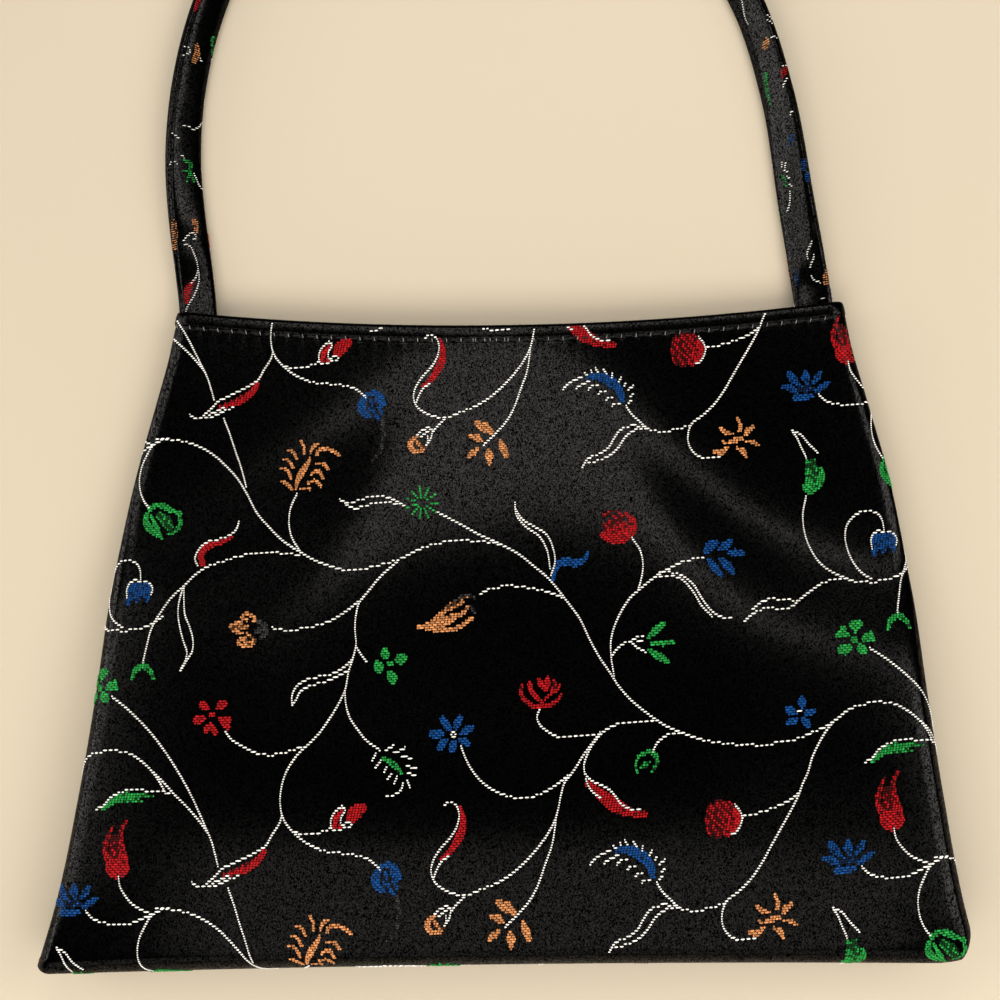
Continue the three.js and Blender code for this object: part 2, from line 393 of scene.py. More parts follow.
def satin_finish(name):
    """Black satin: each speckle of warp floats, a little longer along the warp, has a colour and a gloss of
    its own between dull and bright, and a slow mottle left by pressing turns the roughness a little."""
    material, shader, place = new_finish(name)
    cloth = place.add("ShaderNodeUVMap", {"uv_map": "cloth"}, {})
    warpwise = place.add("ShaderNodeVectorMath", {"operation": "MULTIPLY"}, {0: cloth, 1: SPECKLES_PER_MM})
    flat = {"noise_dimensions": "2D"}
    ends = {"voronoi_dimensions": "2D"}
    cell = place.add("ShaderNodeTexVoronoi", ends, {"Vector": warpwise, "Scale": 1.0}, "Color")
    speckle = place.add("ShaderNodeSeparateColor", {}, {"Color": cell})
    mottle = place.add("ShaderNodeTexNoise", flat, {"Vector": cloth, "Scale": MOTTLE_PER_MM, "Detail": 3.0})
    glint = speckle.spread(SPECKLE_DULL, 1.0)
    glint.mix((*SATIN_DARK, 1.0), (*SATIN_LIGHT, 1.0)).feed(shader, "Base Color")
    (SATIN_ROUGH + MOTTLE_ROUGH * mottle).feed(shader, "Roughness")
    (SATIN_GLOSS * glint).feed(shader, "Coat Weight")
    shader.inputs["Specular IOR Level"].default_value = 0.0
    shader.inputs["Coat Roughness"].default_value = SATIN_ROUGH
    return material


def panel_object(name, face, normals, flip=False):
    """A panel's cloth with its hem folded in and its thickness laid on the inside."""
    hemmed = fold_hem(face, normals)
    piece = grid_object(name, hemmed, cloth_places(hemmed), panel_satin, flip)
    wall = piece.modifiers.new("cloth_thickness", "SOLIDIFY")
    wall.thickness = CLOTH_THICK * MM
    wall.offset = -1
    return piece


panel_satin = satin_finish("black_brocade_satin")
plan = panel_plan(FRONT_ROLL)
arch = ARCH_SIDE + ARCH_LEAN * plan["x"] + ARCH_TOP * np.exp(-((plan["x"] / ARCH_HALF) ** 2))
beyond = 0.5 + 0.5 * np.tanh((plan["up"] - arch) / ARCH_SOFT)
sunk = (plan["crest"] - CORNER_LEVEL) * beyond
for dent_x, dent_up, dent_wide, dent_tall, dent_deep in DENTS:
    away = ((plan["x"] - dent_x) / dent_wide) ** 2 + ((plan["up"] - dent_up) / dent_tall) ** 2
    sunk = sunk + dent_deep * np.exp(-away)
seam = plan["seam"] + plan["gap"]
crest = plan["crest"] - CROWN * plan["outward"] ** 2
sunk = sunk - CROWN * (1 - CROWN_BEYOND) * plan["outward"] ** 2 * beyond
front_smooth = np.stack([plan["x"], plan["up"], seam + (crest - seam) * plan["full"]], axis=-1)
front_face = front_smooth - np.stack([0 * sunk, 0 * sunk, sunk * plan["full"]], axis=-1)
front_drop = plan["drop"]
front_places = hung_places(front_smooth, plan["mouth"])
front_normals = panel_normals(front_face)
front_face = front_face + front_normals * hem_relief(plan["x"], front_drop)[..., None]
front_face = seam_tuck(front_face, front_normals)
front_normals = panel_normals(front_face)

front = panel_object("front_panel_cloth", front_face, front_normals)
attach(front, "root")
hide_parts("front_panel")


# Back panel: the same satin, lying flat on the table. Its sides and base turn up to meet the front panel at
# the seams, and its mouth edge is folded in as a hem.

BACK_ROLL = 8.0
BACK_HEM = 2.3
BACK_LIFT = 0.3

plan = panel_plan(BACK_ROLL)
seam = np.maximum(plan["seam"] - plan["gap"], BACK_HEM)
back_face = np.stack([plan["x"], plan["up"], BACK_LIFT + (seam - BACK_LIFT) * (1 - plan["full"])], axis=-1)
back_drop = plan["drop"]
back_places = hung_places(back_face, plan["mouth"])
back_normals = -panel_normals(back_face)
back_face = seam_tuck(back_face, back_normals)
back_normals = -panel_normals(back_face)

back = panel_object("back_panel_cloth", back_face, back_normals, flip=True)
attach(back, "root")
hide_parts("back_panel")


# Strap: a band of the same satin, folded round a thin pad and closed by a seam along its outer edge, which
# shows on the left run only. Each end lies flat between the two hems at a corner of the mouth; between them
# the band leans up on its edge.

STRAP_WIDTH = 9.4
STRAP_THICK = 3.3
STRAP_END_THICK = 2.4
STRAP_SWELL_FROM = 4.0
STRAP_SWELL_OVER = 14.0
STRAP_POWER = 3.6
STRAP_RINGS = 360
STRAP_SIDES = 96
STRAP_LIFT = 0.25
SEAM_SINK = 0.6
SEAM_REACH = 0.45
SEAM_TURN_LEFT = math.radians(36)
SEAM_TURN_RIGHT = math.radians(-40)
SEAM_CROSSES = (0.4, 0.6)
MOUTH_CORNER = 159.0

STRAP_ROUTE = np.array(
    [
        # x, above the mouth's corners, lean in degrees, lowest point
        (-78.4, -15, 0, 2.65),
        (-77.9, -7, 0, 2.65),
        (-77.9, 0, 0, 2.65),
        (-79.2, 11, 8, 1.2),
        (-81.2, 25, 22, 0),
        (-82.4, 42, 36, 0),
        (-81.2, 60, 44, 0),
        (-77, 79, 48, 0),
        (-69.6, 97, 52, 0),
        (-56.6, 114.5, 56, 0),
        (-37.5, 127.5, 60, 0),
        (-13.5, 133.5, 62, 0),
        (11.5, 129.5, 61, 0),
        (33, 117.5, 58, 0),
        (50, 100, 54, 0),
        (62, 79, 50, 0),
        (69, 55, 44, 0),
        (73, 28, 30, 0),
        (75.4, 11, 20, 1),
        (76.8, 0, 4, 2.4),
        (77.4, -7, 0, 2.65),
        (77.9, -15, 0, 2.65),
    ]
)


def band_outline(angle):
    """Ways across and through the band, from -1 to 1, round a superellipse: the cosine and the sine of the
    angle to the power of 2 over STRAP_POWER, with their signs."""
    sides = np.stack([np.cos(angle), np.sin(angle)])
    return np.sign(sides) * np.abs(sides) ** (2 / STRAP_POWER)


def strap_band():
    """Rings of a superellipse carried along the smoothed route. Each ring is spanned by the outward
    direction and the vertical, both turned by the lean, and is set down so that its lowest point is on the
    route's height. Past the mouth it thickens by a smooth step, three times the square of the share less
    twice its cube. It has a groove, a bell curve of the way from the seam, sunk towards the middle of the
    rounded outer edge. The seam turns from SEAM_TURN_LEFT to SEAM_TURN_RIGHT of the outline where it crosses
    under."""
    chords = np.concatenate([[0], np.cumsum(np.linalg.norm(np.diff(STRAP_ROUTE[:, :2], axis=0), axis=1))])
    at = np.linspace(0, chords[-1], STRAP_RINGS)
    x, above, lean, low = smooth_rows(chords, STRAP_ROUTE, at).T
    low = np.maximum(low, STRAP_LIFT)
    lean = np.radians(lean)[:, None, None]
    middle = np.stack([x, above + MOUTH_CORNER, np.zeros_like(x)], axis=-1)
    ahead = unit(np.gradient(middle, axis=0))
    outward = np.stack([-ahead[:, 1], ahead[:, 0], np.zeros_like(x)], axis=-1)[:, None, :]
    vertical = np.array([0.0, 0.0, 1.0])
    across = outward * np.cos(lean) + vertical * np.sin(lean)
    through = vertical * np.cos(lean) - outward * np.sin(lean)
    angle = np.linspace(-0.5 * np.pi, 1.5 * np.pi, STRAP_SIDES + 1)
    wide, deep = band_outline(angle)
    free = np.clip((above - STRAP_SWELL_FROM) / STRAP_SWELL_OVER, 0, 1)[:, None]
    thick = STRAP_END_THICK + (STRAP_THICK - STRAP_END_THICK) * free * free * (3 - 2 * free)
    reach = STRAP_WIDTH / 2 * wide[None, :] + 0 * thick
    height = thick / 2 * deep[None, :]
    seam_turn = np.interp(at / chords[-1], SEAM_CROSSES, (SEAM_TURN_LEFT, SEAM_TURN_RIGHT))[:, None]
    seam_wide, seam_deep = band_outline(seam_turn)
    away = np.hypot(reach - STRAP_WIDTH / 2 * seam_wide, height - thick / 2 * seam_deep) / SEAM_REACH
    groove = SEAM_SINK * np.exp(-(away**2))
    inward = STRAP_WIDTH / 2 - STRAP_THICK / 2 - reach
    far = np.hypot(inward, height)
    reach = reach + groove * inward / far
    height = height - groove * height / far
    ring = across * reach[..., None] + through * height[..., None]
    ring[..., 2] += (low - ring[..., 2].min(axis=1))[:, None]
    return middle[:, None, :] + ring


strap_face = strap_band()
# The weave runs straight across the band, so a whole ring has one place along it.
strap_places = cloth_places(strap_face)
strap_places[..., 1] = strap_places[..., 1].mean(axis=1, keepdims=True)
strap_satin = satin_finish("black_strap_satin")
strap = grid_object("strap_band", strap_face, strap_places, strap_satin)
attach(strap, "root")
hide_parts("strap")


# Topstitching: one row of black sewing thread through the front hem, a lockstitch with long stitches, worked
# over twice for a few stitches at the middle, where it starts and ends. A short pale tick laid at each
# needle hole is a painted glint on the black stitching.

STITCH_LENGTH = 2.7
STITCH_HALF_WIDTH = 0.24
STITCH_HALF_HEIGHT = 0.2
STITCH_COLOUR = (0.012, 0.011, 0.012)
STITCH_COUNT = 23
TICK_LENGTH = 1.1
TICK_HALF_WIDTH = 0.13
# Colour of the pale ticks at the needle holes, which are painted glints on the black stitching.
GLINT_TICK_COLOUR = (0.2, 0.187, 0.173)
BACKSTITCH_FROM = -9.0
BACKSTITCH_TO = 0.5
BACKSTITCH_PITCH = 2.88
BACKSTITCH_DROP = 2.5
BACKSTITCH_HOLE = 1.2
SEWING_ROUGH = 0.4

STRAND_STATIONS = np.array([0.0, 0.16, 0.5, 0.84, 1.0])
STRAND_SWELL = np.array([0.75, 1.0, 0.75])
STRAND_RISE = np.array([-0.25, 0.45, 0.8, 0.45, -0.25])
STRAND_SIDES = 5
PATCHES_PER_METRE = 900.0
PATCH_DARKEST = 0.6
PATCH_SPREAD = (0.3, 0.7)
TWISTS_PER_METRE = 6000.0
TWIST_GLOSS = 0.15
TWIST_STRENGTH = 0.3
TWIST_HEIGHT = 0.00008
THREAD_SHINE = 0.12


def thread_finish(name, colour, rough):
    """Twisted thread: the colour goes darker and lighter along it in short patches and with each strand's
    shade, and the twist rocks the gloss and the light on it."""
    material, shader, place = new_finish(name)
    patch = place.add("ShaderNodeTexNoise", {}, {"Vector": place, "Scale": PATCHES_PER_METRE, "Detail": 2.0})
    twist = place.add("ShaderNodeTexNoise", {}, {"Vector": place, "Scale": TWISTS_PER_METRE, "Detail": 1.0})
    shade = place.add("ShaderNodeAttribute", {"attribute_name": "shade"}, {}, "Fac")
    light = (PATCH_DARKEST + (1 - PATCH_DARKEST) * patch.spread(*PATCH_SPREAD)) * shade
    light.mix((0.0, 0.0, 0.0, 1.0), (*colour, 1.0)).feed(shader, "Base Color")
    (rough - TWIST_GLOSS * twist).feed(shader, "Roughness")
    bump = {"Strength": TWIST_STRENGTH, "Distance": TWIST_HEIGHT, "Height": twist}
    place.add("ShaderNodeBump", {}, bump).feed(shader, "Normal")
    shader.inputs["Specular IOR Level"].default_value = THREAD_SHINE
    return material


def strand_object(name, centres, normals, half_width, half_height, shade, material):
    """Mesh object of many short strands. Each is a spindle along its five centres: a point, three rings that
    swell in the middle, a point. The rings rise over the cloth and the points dive into it. shade is how
    light each strand's colour is."""
    count = len(centres)
    ahead = unit(centres[:, -1] - centres[:, 0])
    aside = unit(np.cross(normals[:, 2], ahead))
    lifted = centres + normals * (STRAND_RISE * half_height)[None, :, None]
    angle = np.arange(STRAND_SIDES) * 2 * np.pi / STRAND_SIDES
    wide = STRAND_SWELL[:, None] * half_width * np.cos(angle)
    tall = STRAND_SWELL[:, None] * half_height * np.sin(angle)
    body = lifted[:, 1:-1, None, :] + aside[:, None, None, :] * wide[None, :, :, None]
    body = body + normals[:, 1:-1, None, :] * tall[None, :, :, None]
    points = np.concatenate([lifted[:, :1], body.reshape(count, -1, 3), lifted[:, -1:]], axis=1)
    per_strand = points.shape[1]
    side = np.arange(STRAND_SIDES)
    after = (side + 1) % STRAND_SIDES
    rings = 1 + STRAND_SIDES * np.arange(len(STRAND_SWELL))
    start_fan = np.stack([0 * side, rings[0] + after, rings[0] + side], axis=-1)
    bands = [np.stack([a + side, a + after, b + after, b + side], axis=-1) for a, b in zip(rings, rings[1:])]
    end_fan = np.stack([0 * side + per_strand - 1, rings[-1] + side, rings[-1] + after], axis=-1)
    first = np.arange(count)[:, None, None] * per_strand
    triangles = (first + np.concatenate([start_fan, end_fan])[None]).reshape(-1, 3)
    quads = (first + np.concatenate(bands)[None]).reshape(-1, 4)
    mesh = bpy.data.meshes.new(name)
    world = points.reshape(-1, 3) * MM + BAG_ORIGIN
    mesh.from_pydata(world.tolist(), [], triangles.tolist() + quads.tolist())
    mesh.polygons.foreach_set("use_smooth", np.ones(len(mesh.polygons), dtype=bool))
    layer = mesh.attributes.new("shade", "FLOAT", "POINT")
    layer.data.foreach_set("value", np.repeat(shade, per_strand).astype(np.float32))
    mesh.materials.append(material)
    piece = bpy.data.objects.new(name, mesh)
    bpy.context.scene.collection.objects.link(piece)
    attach(piece, "root")
    return piece


def hem_points(at, drop):
    """Points and normals at these lengths along the line a given way below the mouth, from its middle."""
    fraction = np.array([np.interp(-drop, -column, np.arange(len(column))) for column in front_drop.T])
    row = fraction.astype(int)
    part = (fraction - row)[:, None]
    column = np.arange(front_face.shape[1])
    line = front_face[row, column] * (1 - part) + front_face[row + 1, column] * part
    facing = front_normals[row, column]
    reach = np.concatenate([[0], np.cumsum(np.linalg.norm(np.diff(line, axis=0), axis=1))])
    reach = reach - np.interp(0, line[:, 0], reach)
    points = np.stack([np.interp(at, reach, line[:, axis]) for axis in range(3)], axis=-1)
    normals = np.stack([np.interp(at, reach, facing[:, axis]) for axis in range(3)], axis=-1)
    return points, unit(normals)


stitch_gap = (STITCH_PITCH - STITCH_LENGTH) / 2
stitch_starts = np.arange(-STITCH_COUNT, STITCH_COUNT) * STITCH_PITCH + stitch_gap
row_centres, row_normals = hem_points(stitch_starts[:, None] + STITCH_LENGTH * STRAND_STATIONS, STITCH_DROP)
extra_starts = np.arange(BACKSTITCH_FROM, BACKSTITCH_TO, BACKSTITCH_PITCH)
extra_at = extra_starts[:, None] + STITCH_LENGTH * STRAND_STATIONS
extra_centres, extra_normals = hem_points(extra_at, BACKSTITCH_DROP)
stitches = strand_object(
    "hem_topstitching",
    np.concatenate([row_centres, extra_centres]),
    np.concatenate([row_normals, extra_normals]),
    STITCH_HALF_WIDTH,
    STITCH_HALF_HEIGHT,
    np.ones(len(row_centres) + len(extra_centres)),
    thread_finish("black_sewing_thread", STITCH_COLOUR, SEWING_ROUGH),
)

hole_starts = np.concatenate([stitch_starts - stitch_gap, extra_starts + BACKSTITCH_HOLE])
holes = hole_starts[:, None] + 0 * STRAND_STATIONS
above = hem_points(holes, STITCH_DROP - TICK_LENGTH / 2)[0]
below, tick_normals = hem_points(holes, STITCH_DROP + TICK_LENGTH / 2)
# Pale ticks at the needle holes: painted glints on the black stitching.
ticks = strand_object(
    "hem_painted_glint_ticks",
    above + (below - above) * STRAND_STATIONS[None, :, None],
    tick_normals,
    TICK_HALF_WIDTH,
    STITCH_HALF_HEIGHT,
    np.ones(len(holes)),
    thread_finish("painted_glint_thread", GLINT_TICK_COLOUR, SEWING_ROUGH),
)


# Brocade: the figure of scrolling vines, leaves and small flowers is woven into the satin with coloured weft
# threads, which float over the face for a millimetre or so and are bound down between. One repeat is charted
# in pixels of the view and comes again across and up the cloth.

PICK = 0.56
CELL = 0.14
BIND_EVERY = 9
BIND_SPARSE = 5
BIND_SHIFT = 4
GROUND_SHADE = 0.14
SHORTEST_FLOAT = 0.4
LINE_FLOAT = 1.31
LINE_GAP = 0.28
LINE_TAIL = 0.36
LINE_CLEAR = 0.3
CLOTH_SLANT = math.radians(3.4)
REPEAT_RIGHT = np.array([181.2, 10.8])
REPEAT_RISE = np.array([-6.2, 114.4])
DENSE_STEP = 0.1
CHART_FACING = 0.3
CHART_REACH = 0.5
CHART_MENDS = 6
CHART_STEP = 3.0
CHART_GRID = 2
MOUTH_BEYOND = 8
MOUTH_CLEAR = 0.2
PIXEL = 0.2425
WEAVE_SHAPE = (1100, 3600)
WEAVE_FIRST_PICK = -150
WEAVE_FIRST_CELL = -1800
EVEN_STEP = 0.618
PICK_STEP = 0.755
LINE_HALF_WIDTH = 0.22
FILL_HALF_WIDTH = 0.31
FLOAT_HALF_HEIGHT = 0.14
FLOAT_OVERLAP = 0.16
TONE_SPREAD = 0.5
LINE_TONE_SPREAD = 0.12
STRAP_FINER = 0.55
WEFT_ROUGH = 0.5
COPIES_ACROSS = 5
COPIES_UP = 4
BACK_SHIFT = (60.0, 20.0)
STRAP_SHIFT = (40.0, 0.0)

# Each vine is a white line through its chart points.
VINES = [
    [(156, 439), (165, 439), (182, 441), (200, 447), (215, 456), (226, 466), (237, 478), (247, 494),
     (257, 513), (268, 526), (282, 540), (300, 552), (314, 560), (330, 566), (345, 570), (362, 569),
     (380, 565), (400, 559), (420, 549), (440, 543), (460, 541), (480, 541), (500, 544)],
    [(948, 857), (940, 859), (932, 864), (924, 878), (919, 892), (918, 905), (921, 920), (926, 930),
     (931, 936)],
    [(297, 494), (291, 507), (289, 520), (291, 535), (301, 553)],
    [(300, 555), (280, 553), (260, 554), (240, 556), (225, 561), (205, 568), (195, 575), (184, 586),
     (172, 597), (163, 609), (157, 618), (151, 630), (147, 645), (143, 662)],
    [(907, 567), (897, 576), (885, 580), (870, 582), (858, 582), (845, 579), (833, 580), (823, 583),
     (812, 590), (799, 600)],
    [(872, 579), (862, 573), (853, 562), (847, 548), (845, 535), (847, 525), (853, 517), (861, 512),
     (870, 511), (878, 514), (882, 520), (884, 530)],
    [(850, 580), (843, 577), (832, 572), (820, 563), (810, 548), (804, 530), (803, 512), (806, 497)],
    [(437, 512), (460, 524), (480, 535), (500, 544), (520, 555), (535, 567), (548, 578), (556, 587),
     (566, 600), (580, 619), (590, 640), (600, 658), (609, 671), (618, 685), (630, 699), (643, 710),
     (655, 719), (668, 727), (683, 733), (700, 739), (715, 742), (732, 744), (752, 745), (770, 744),
     (785, 741), (800, 738), (813, 732), (825, 727), (837, 719), (848, 710), (865, 704), (883, 702),
     (895, 704), (905, 709), (915, 716), (925, 727), (932, 741)],
    [(154, 773), (165, 784), (175, 795), (188, 808), (200, 822), (208, 833)],
    [(112, 697), (125, 707), (140, 721), (155, 738), (168, 756), (180, 775), (190, 793), (198, 810),
     (205, 826), (211, 840), (218, 866)],
    [(228, 888), (234, 905), (240, 925), (245, 940), (253, 962)],
    [(398, 561), (380, 577), (367, 593), (359, 603), (356, 615), (355, 628), (356, 645), (353, 658),
     (349, 670), (345, 690), (338, 705), (330, 718), (321, 731), (311, 742), (300, 752), (292, 762),
     (285, 775), (281, 790), (280, 800), (281, 812)],
    [(272, 628), (285, 630), (300, 629), (315, 626), (330, 621), (345, 612), (359, 601)],
    [(357, 648), (362, 656), (367, 662)],
    [(345, 692), (346, 705), (350, 718), (358, 730), (366, 740), (380, 750)],
    [(225, 731), (231, 739), (242, 746), (256, 753), (270, 755), (283, 753), (302, 747)],
    [(281, 812), (285, 822), (293, 832), (302, 840), (312, 846), (325, 851), (340, 853), (355, 855),
     (368, 859), (380, 869)],
    [(293, 832), (310, 835), (322, 832), (330, 829)],
    [(282, 815), (280, 822), (272, 835), (266, 846)],
    [(894, 829), (896, 838), (902, 847), (910, 855), (922, 861), (932, 864)],
    [(862, 867), (870, 874), (883, 877), (895, 878), (908, 876), (920, 870), (932, 864)],
    [(480, 594), (490, 589), (500, 587), (515, 586), (530, 588), (545, 591), (562, 597)],
    [(705, 558), (685, 561), (670, 568), (655, 577), (640, 589), (630, 598), (622, 610), (615, 625),
     (611, 640), (611, 655), (614, 675)],
    [(632, 538), (640, 550), (643, 565), (641, 580), (638, 590)],
    [(611, 657), (617, 649), (625, 643), (632, 642)],
    [(540, 709), (537, 717), (540, 725), (547, 731), (556, 736), (570, 737), (585, 736), (602, 733)],
    [(655, 720), (640, 721), (625, 722), (613, 726), (603, 732), (595, 741), (588, 753), (584, 765),
     (585, 775)],
    [(600, 733), (585, 753), (572, 773), (565, 782), (561, 795), (558, 810), (555, 820), (550, 830),
     (540, 845), (525, 862), (510, 875), (495, 884), (480, 890), (467, 895), (455, 894), (443, 889),
     (434, 881), (431, 870), (434, 859), (441, 848), (450, 838), (457, 826), (459, 813), (455, 804),
     (450, 802), (444, 805)],
    [(556, 820), (552, 845), (545, 865), (538, 885), (530, 900), (520, 912), (505, 927)],
    [(465, 896), (458, 903), (452, 910)],
    [(461, 746), (465, 757), (472, 770), (482, 782), (495, 791), (508, 796), (520, 798), (538, 795),
     (550, 789), (568, 776)],
    [(682, 732), (672, 733), (664, 737), (658, 742), (653, 751)],
    [(833, 722), (824, 734), (818, 745), (812, 758), (808, 772), (803, 783), (799, 794), (790, 812),
     (780, 830), (770, 848), (760, 866), (750, 880), (738, 892), (726, 902), (722, 914), (723, 926),
     (730, 936), (740, 940), (757, 937)],
    [(799, 793), (790, 800), (778, 806), (765, 811), (742, 817)],
    [(726, 903), (713, 907), (700, 910), (680, 908), (670, 899), (662, 891), (657, 883)],
]

# White edges of leaves and sepals, and the white fringes of the feathered ones.
EDGES = [
    [(340, 500), (348, 503), (360, 500), (370, 497), (380, 496), (390, 498), (398, 502), (405, 506)],
    [(345, 504), (353, 508), (362, 507), (372, 504), (385, 503), (398, 503)],
    [(515, 503), (516, 514), (525, 526), (540, 537), (547, 550), (550, 568)],
    [(515, 508), (522, 519), (535, 527), (547, 535), (553, 548), (555, 562), (551, 575)],
    [(678, 906), (662, 905), (650, 910), (643, 920), (637, 930), (628, 937), (615, 943), (609, 952)],
    [(680, 908), (665, 910), (655, 918), (648, 929), (638, 939), (625, 945), (615, 948)],
    [(799, 600), (785, 600), (770, 599), (760, 603), (752, 610)],
    [(799, 600), (793, 606), (783, 609), (770, 608), (758, 611), (750, 616), (744, 622)],
    [(184, 586), (180, 598), (178, 612), (180, 628), (184, 643), (187, 652), (186, 659), (180, 671)],
    [(184, 586), (184, 600), (185, 615), (190, 628), (193, 640), (192, 652), (187, 660), (181, 670)],
    [(353, 659), (343, 668), (332, 674), (318, 677), (304, 681), (296, 687), (292, 696), (292, 705)],
    [(348, 671), (338, 676), (325, 682), (310, 686), (300, 692), (296, 700), (292, 705)],
    [(659, 573), (676, 573), (692, 583), (703, 600), (713, 612), (722, 617), (733, 618)],
    [(659, 576), (680, 578), (692, 590), (702, 606), (712, 616)],
    [(266, 846), (258, 851), (249, 856), (240, 860), (230, 865), (223, 868), (217, 874), (212, 879),
     (206, 884)],
    [(239, 876), (230, 879), (222, 883), (215, 886), (205, 887), (197, 886), (192, 883)],
    [(229, 875), (220, 880), (212, 883)],
    [(239, 522), (236, 530), (230, 535), (220, 539), (210, 541), (203, 545), (198, 551), (195, 559),
     (198, 566)],
    [(449, 856), (442, 861), (437, 869), (434, 877)],
    [(586, 775), (592, 781), (601, 785), (611, 791), (616, 797), (621, 804), (628, 808), (634, 810),
     (642, 810)],
    [(586, 780), (589, 787), (595, 794), (601, 798)],
    [(96, 809), (103, 806), (110, 798), (117, 794), (125, 791), (138, 790), (152, 791), (160, 791),
     (170, 793)],
    [(792, 431), (797, 438), (801, 447), (806, 457)],
    [(792, 431), (800, 434), (808, 443), (814, 449), (818, 453)],
    [(331, 829), (331, 820), (336, 811), (343, 807), (345, 809), (341, 818), (341, 824), (350, 823),
     (352, 825), (345, 828), (336, 830), (331, 829)],
    [(872, 548), (871, 540), (874, 533), (880, 531), (884, 533), (889, 531), (894, 534), (897, 540),
     (896, 544)],
    [(631, 641), (638, 637), (645, 637)],
    [(631, 642), (638, 648), (646, 652)],
    [(637, 642), (643, 640)],
    [(385, 750), (390, 748), (394, 745)],
    [(393, 753), (399, 751), (405, 748)],
    [(401, 757), (406, 757), (412, 759)],
    [(406, 765), (410, 767), (417, 767)],
    [(407, 772), (411, 774), (416, 775)],
    [(407, 780), (410, 787)],
    [(403, 783), (401, 790), (396, 794), (389, 797), (386, 795)],
    [(376, 754), (372, 761)],
    [(381, 761), (375, 768)],
    [(387, 767), (384, 772)],
    [(392, 773), (387, 780)],
    [(397, 777), (394, 784)],
    [(735, 805), (740, 811), (742, 818), (740, 826), (735, 833), (731, 835)],
    [(590, 864), (596, 858), (604, 853), (611, 851)],
    [(604, 863), (612, 858), (619, 855)],
    [(617, 864), (622, 860), (629, 859)],
    [(627, 869), (631, 867), (637, 866)],
    [(635, 876), (640, 873), (644, 872)],
    [(642, 882), (646, 880), (652, 879)],
    [(613, 846), (617, 849)],
    [(620, 842), (621, 846)],
    [(625, 841), (628, 845)],
    [(633, 841), (637, 847)],
    [(643, 845), (642, 851)],
    [(652, 851), (649, 856)],
    [(657, 856), (655, 860)],
    [(665, 860), (659, 864)],
    [(665, 869), (661, 872)],
    [(663, 876), (659, 879)],
    [(451, 735), (453, 732), (456, 735), (453, 737), (451, 735)],
    [(797, 711), (802, 711)],
    [(434, 915), (440, 909), (448, 906)],
    [(438, 917), (444, 912), (451, 907)],
    [(451, 911), (449, 919), (444, 926)],
    [(446, 916), (446, 921)],
]

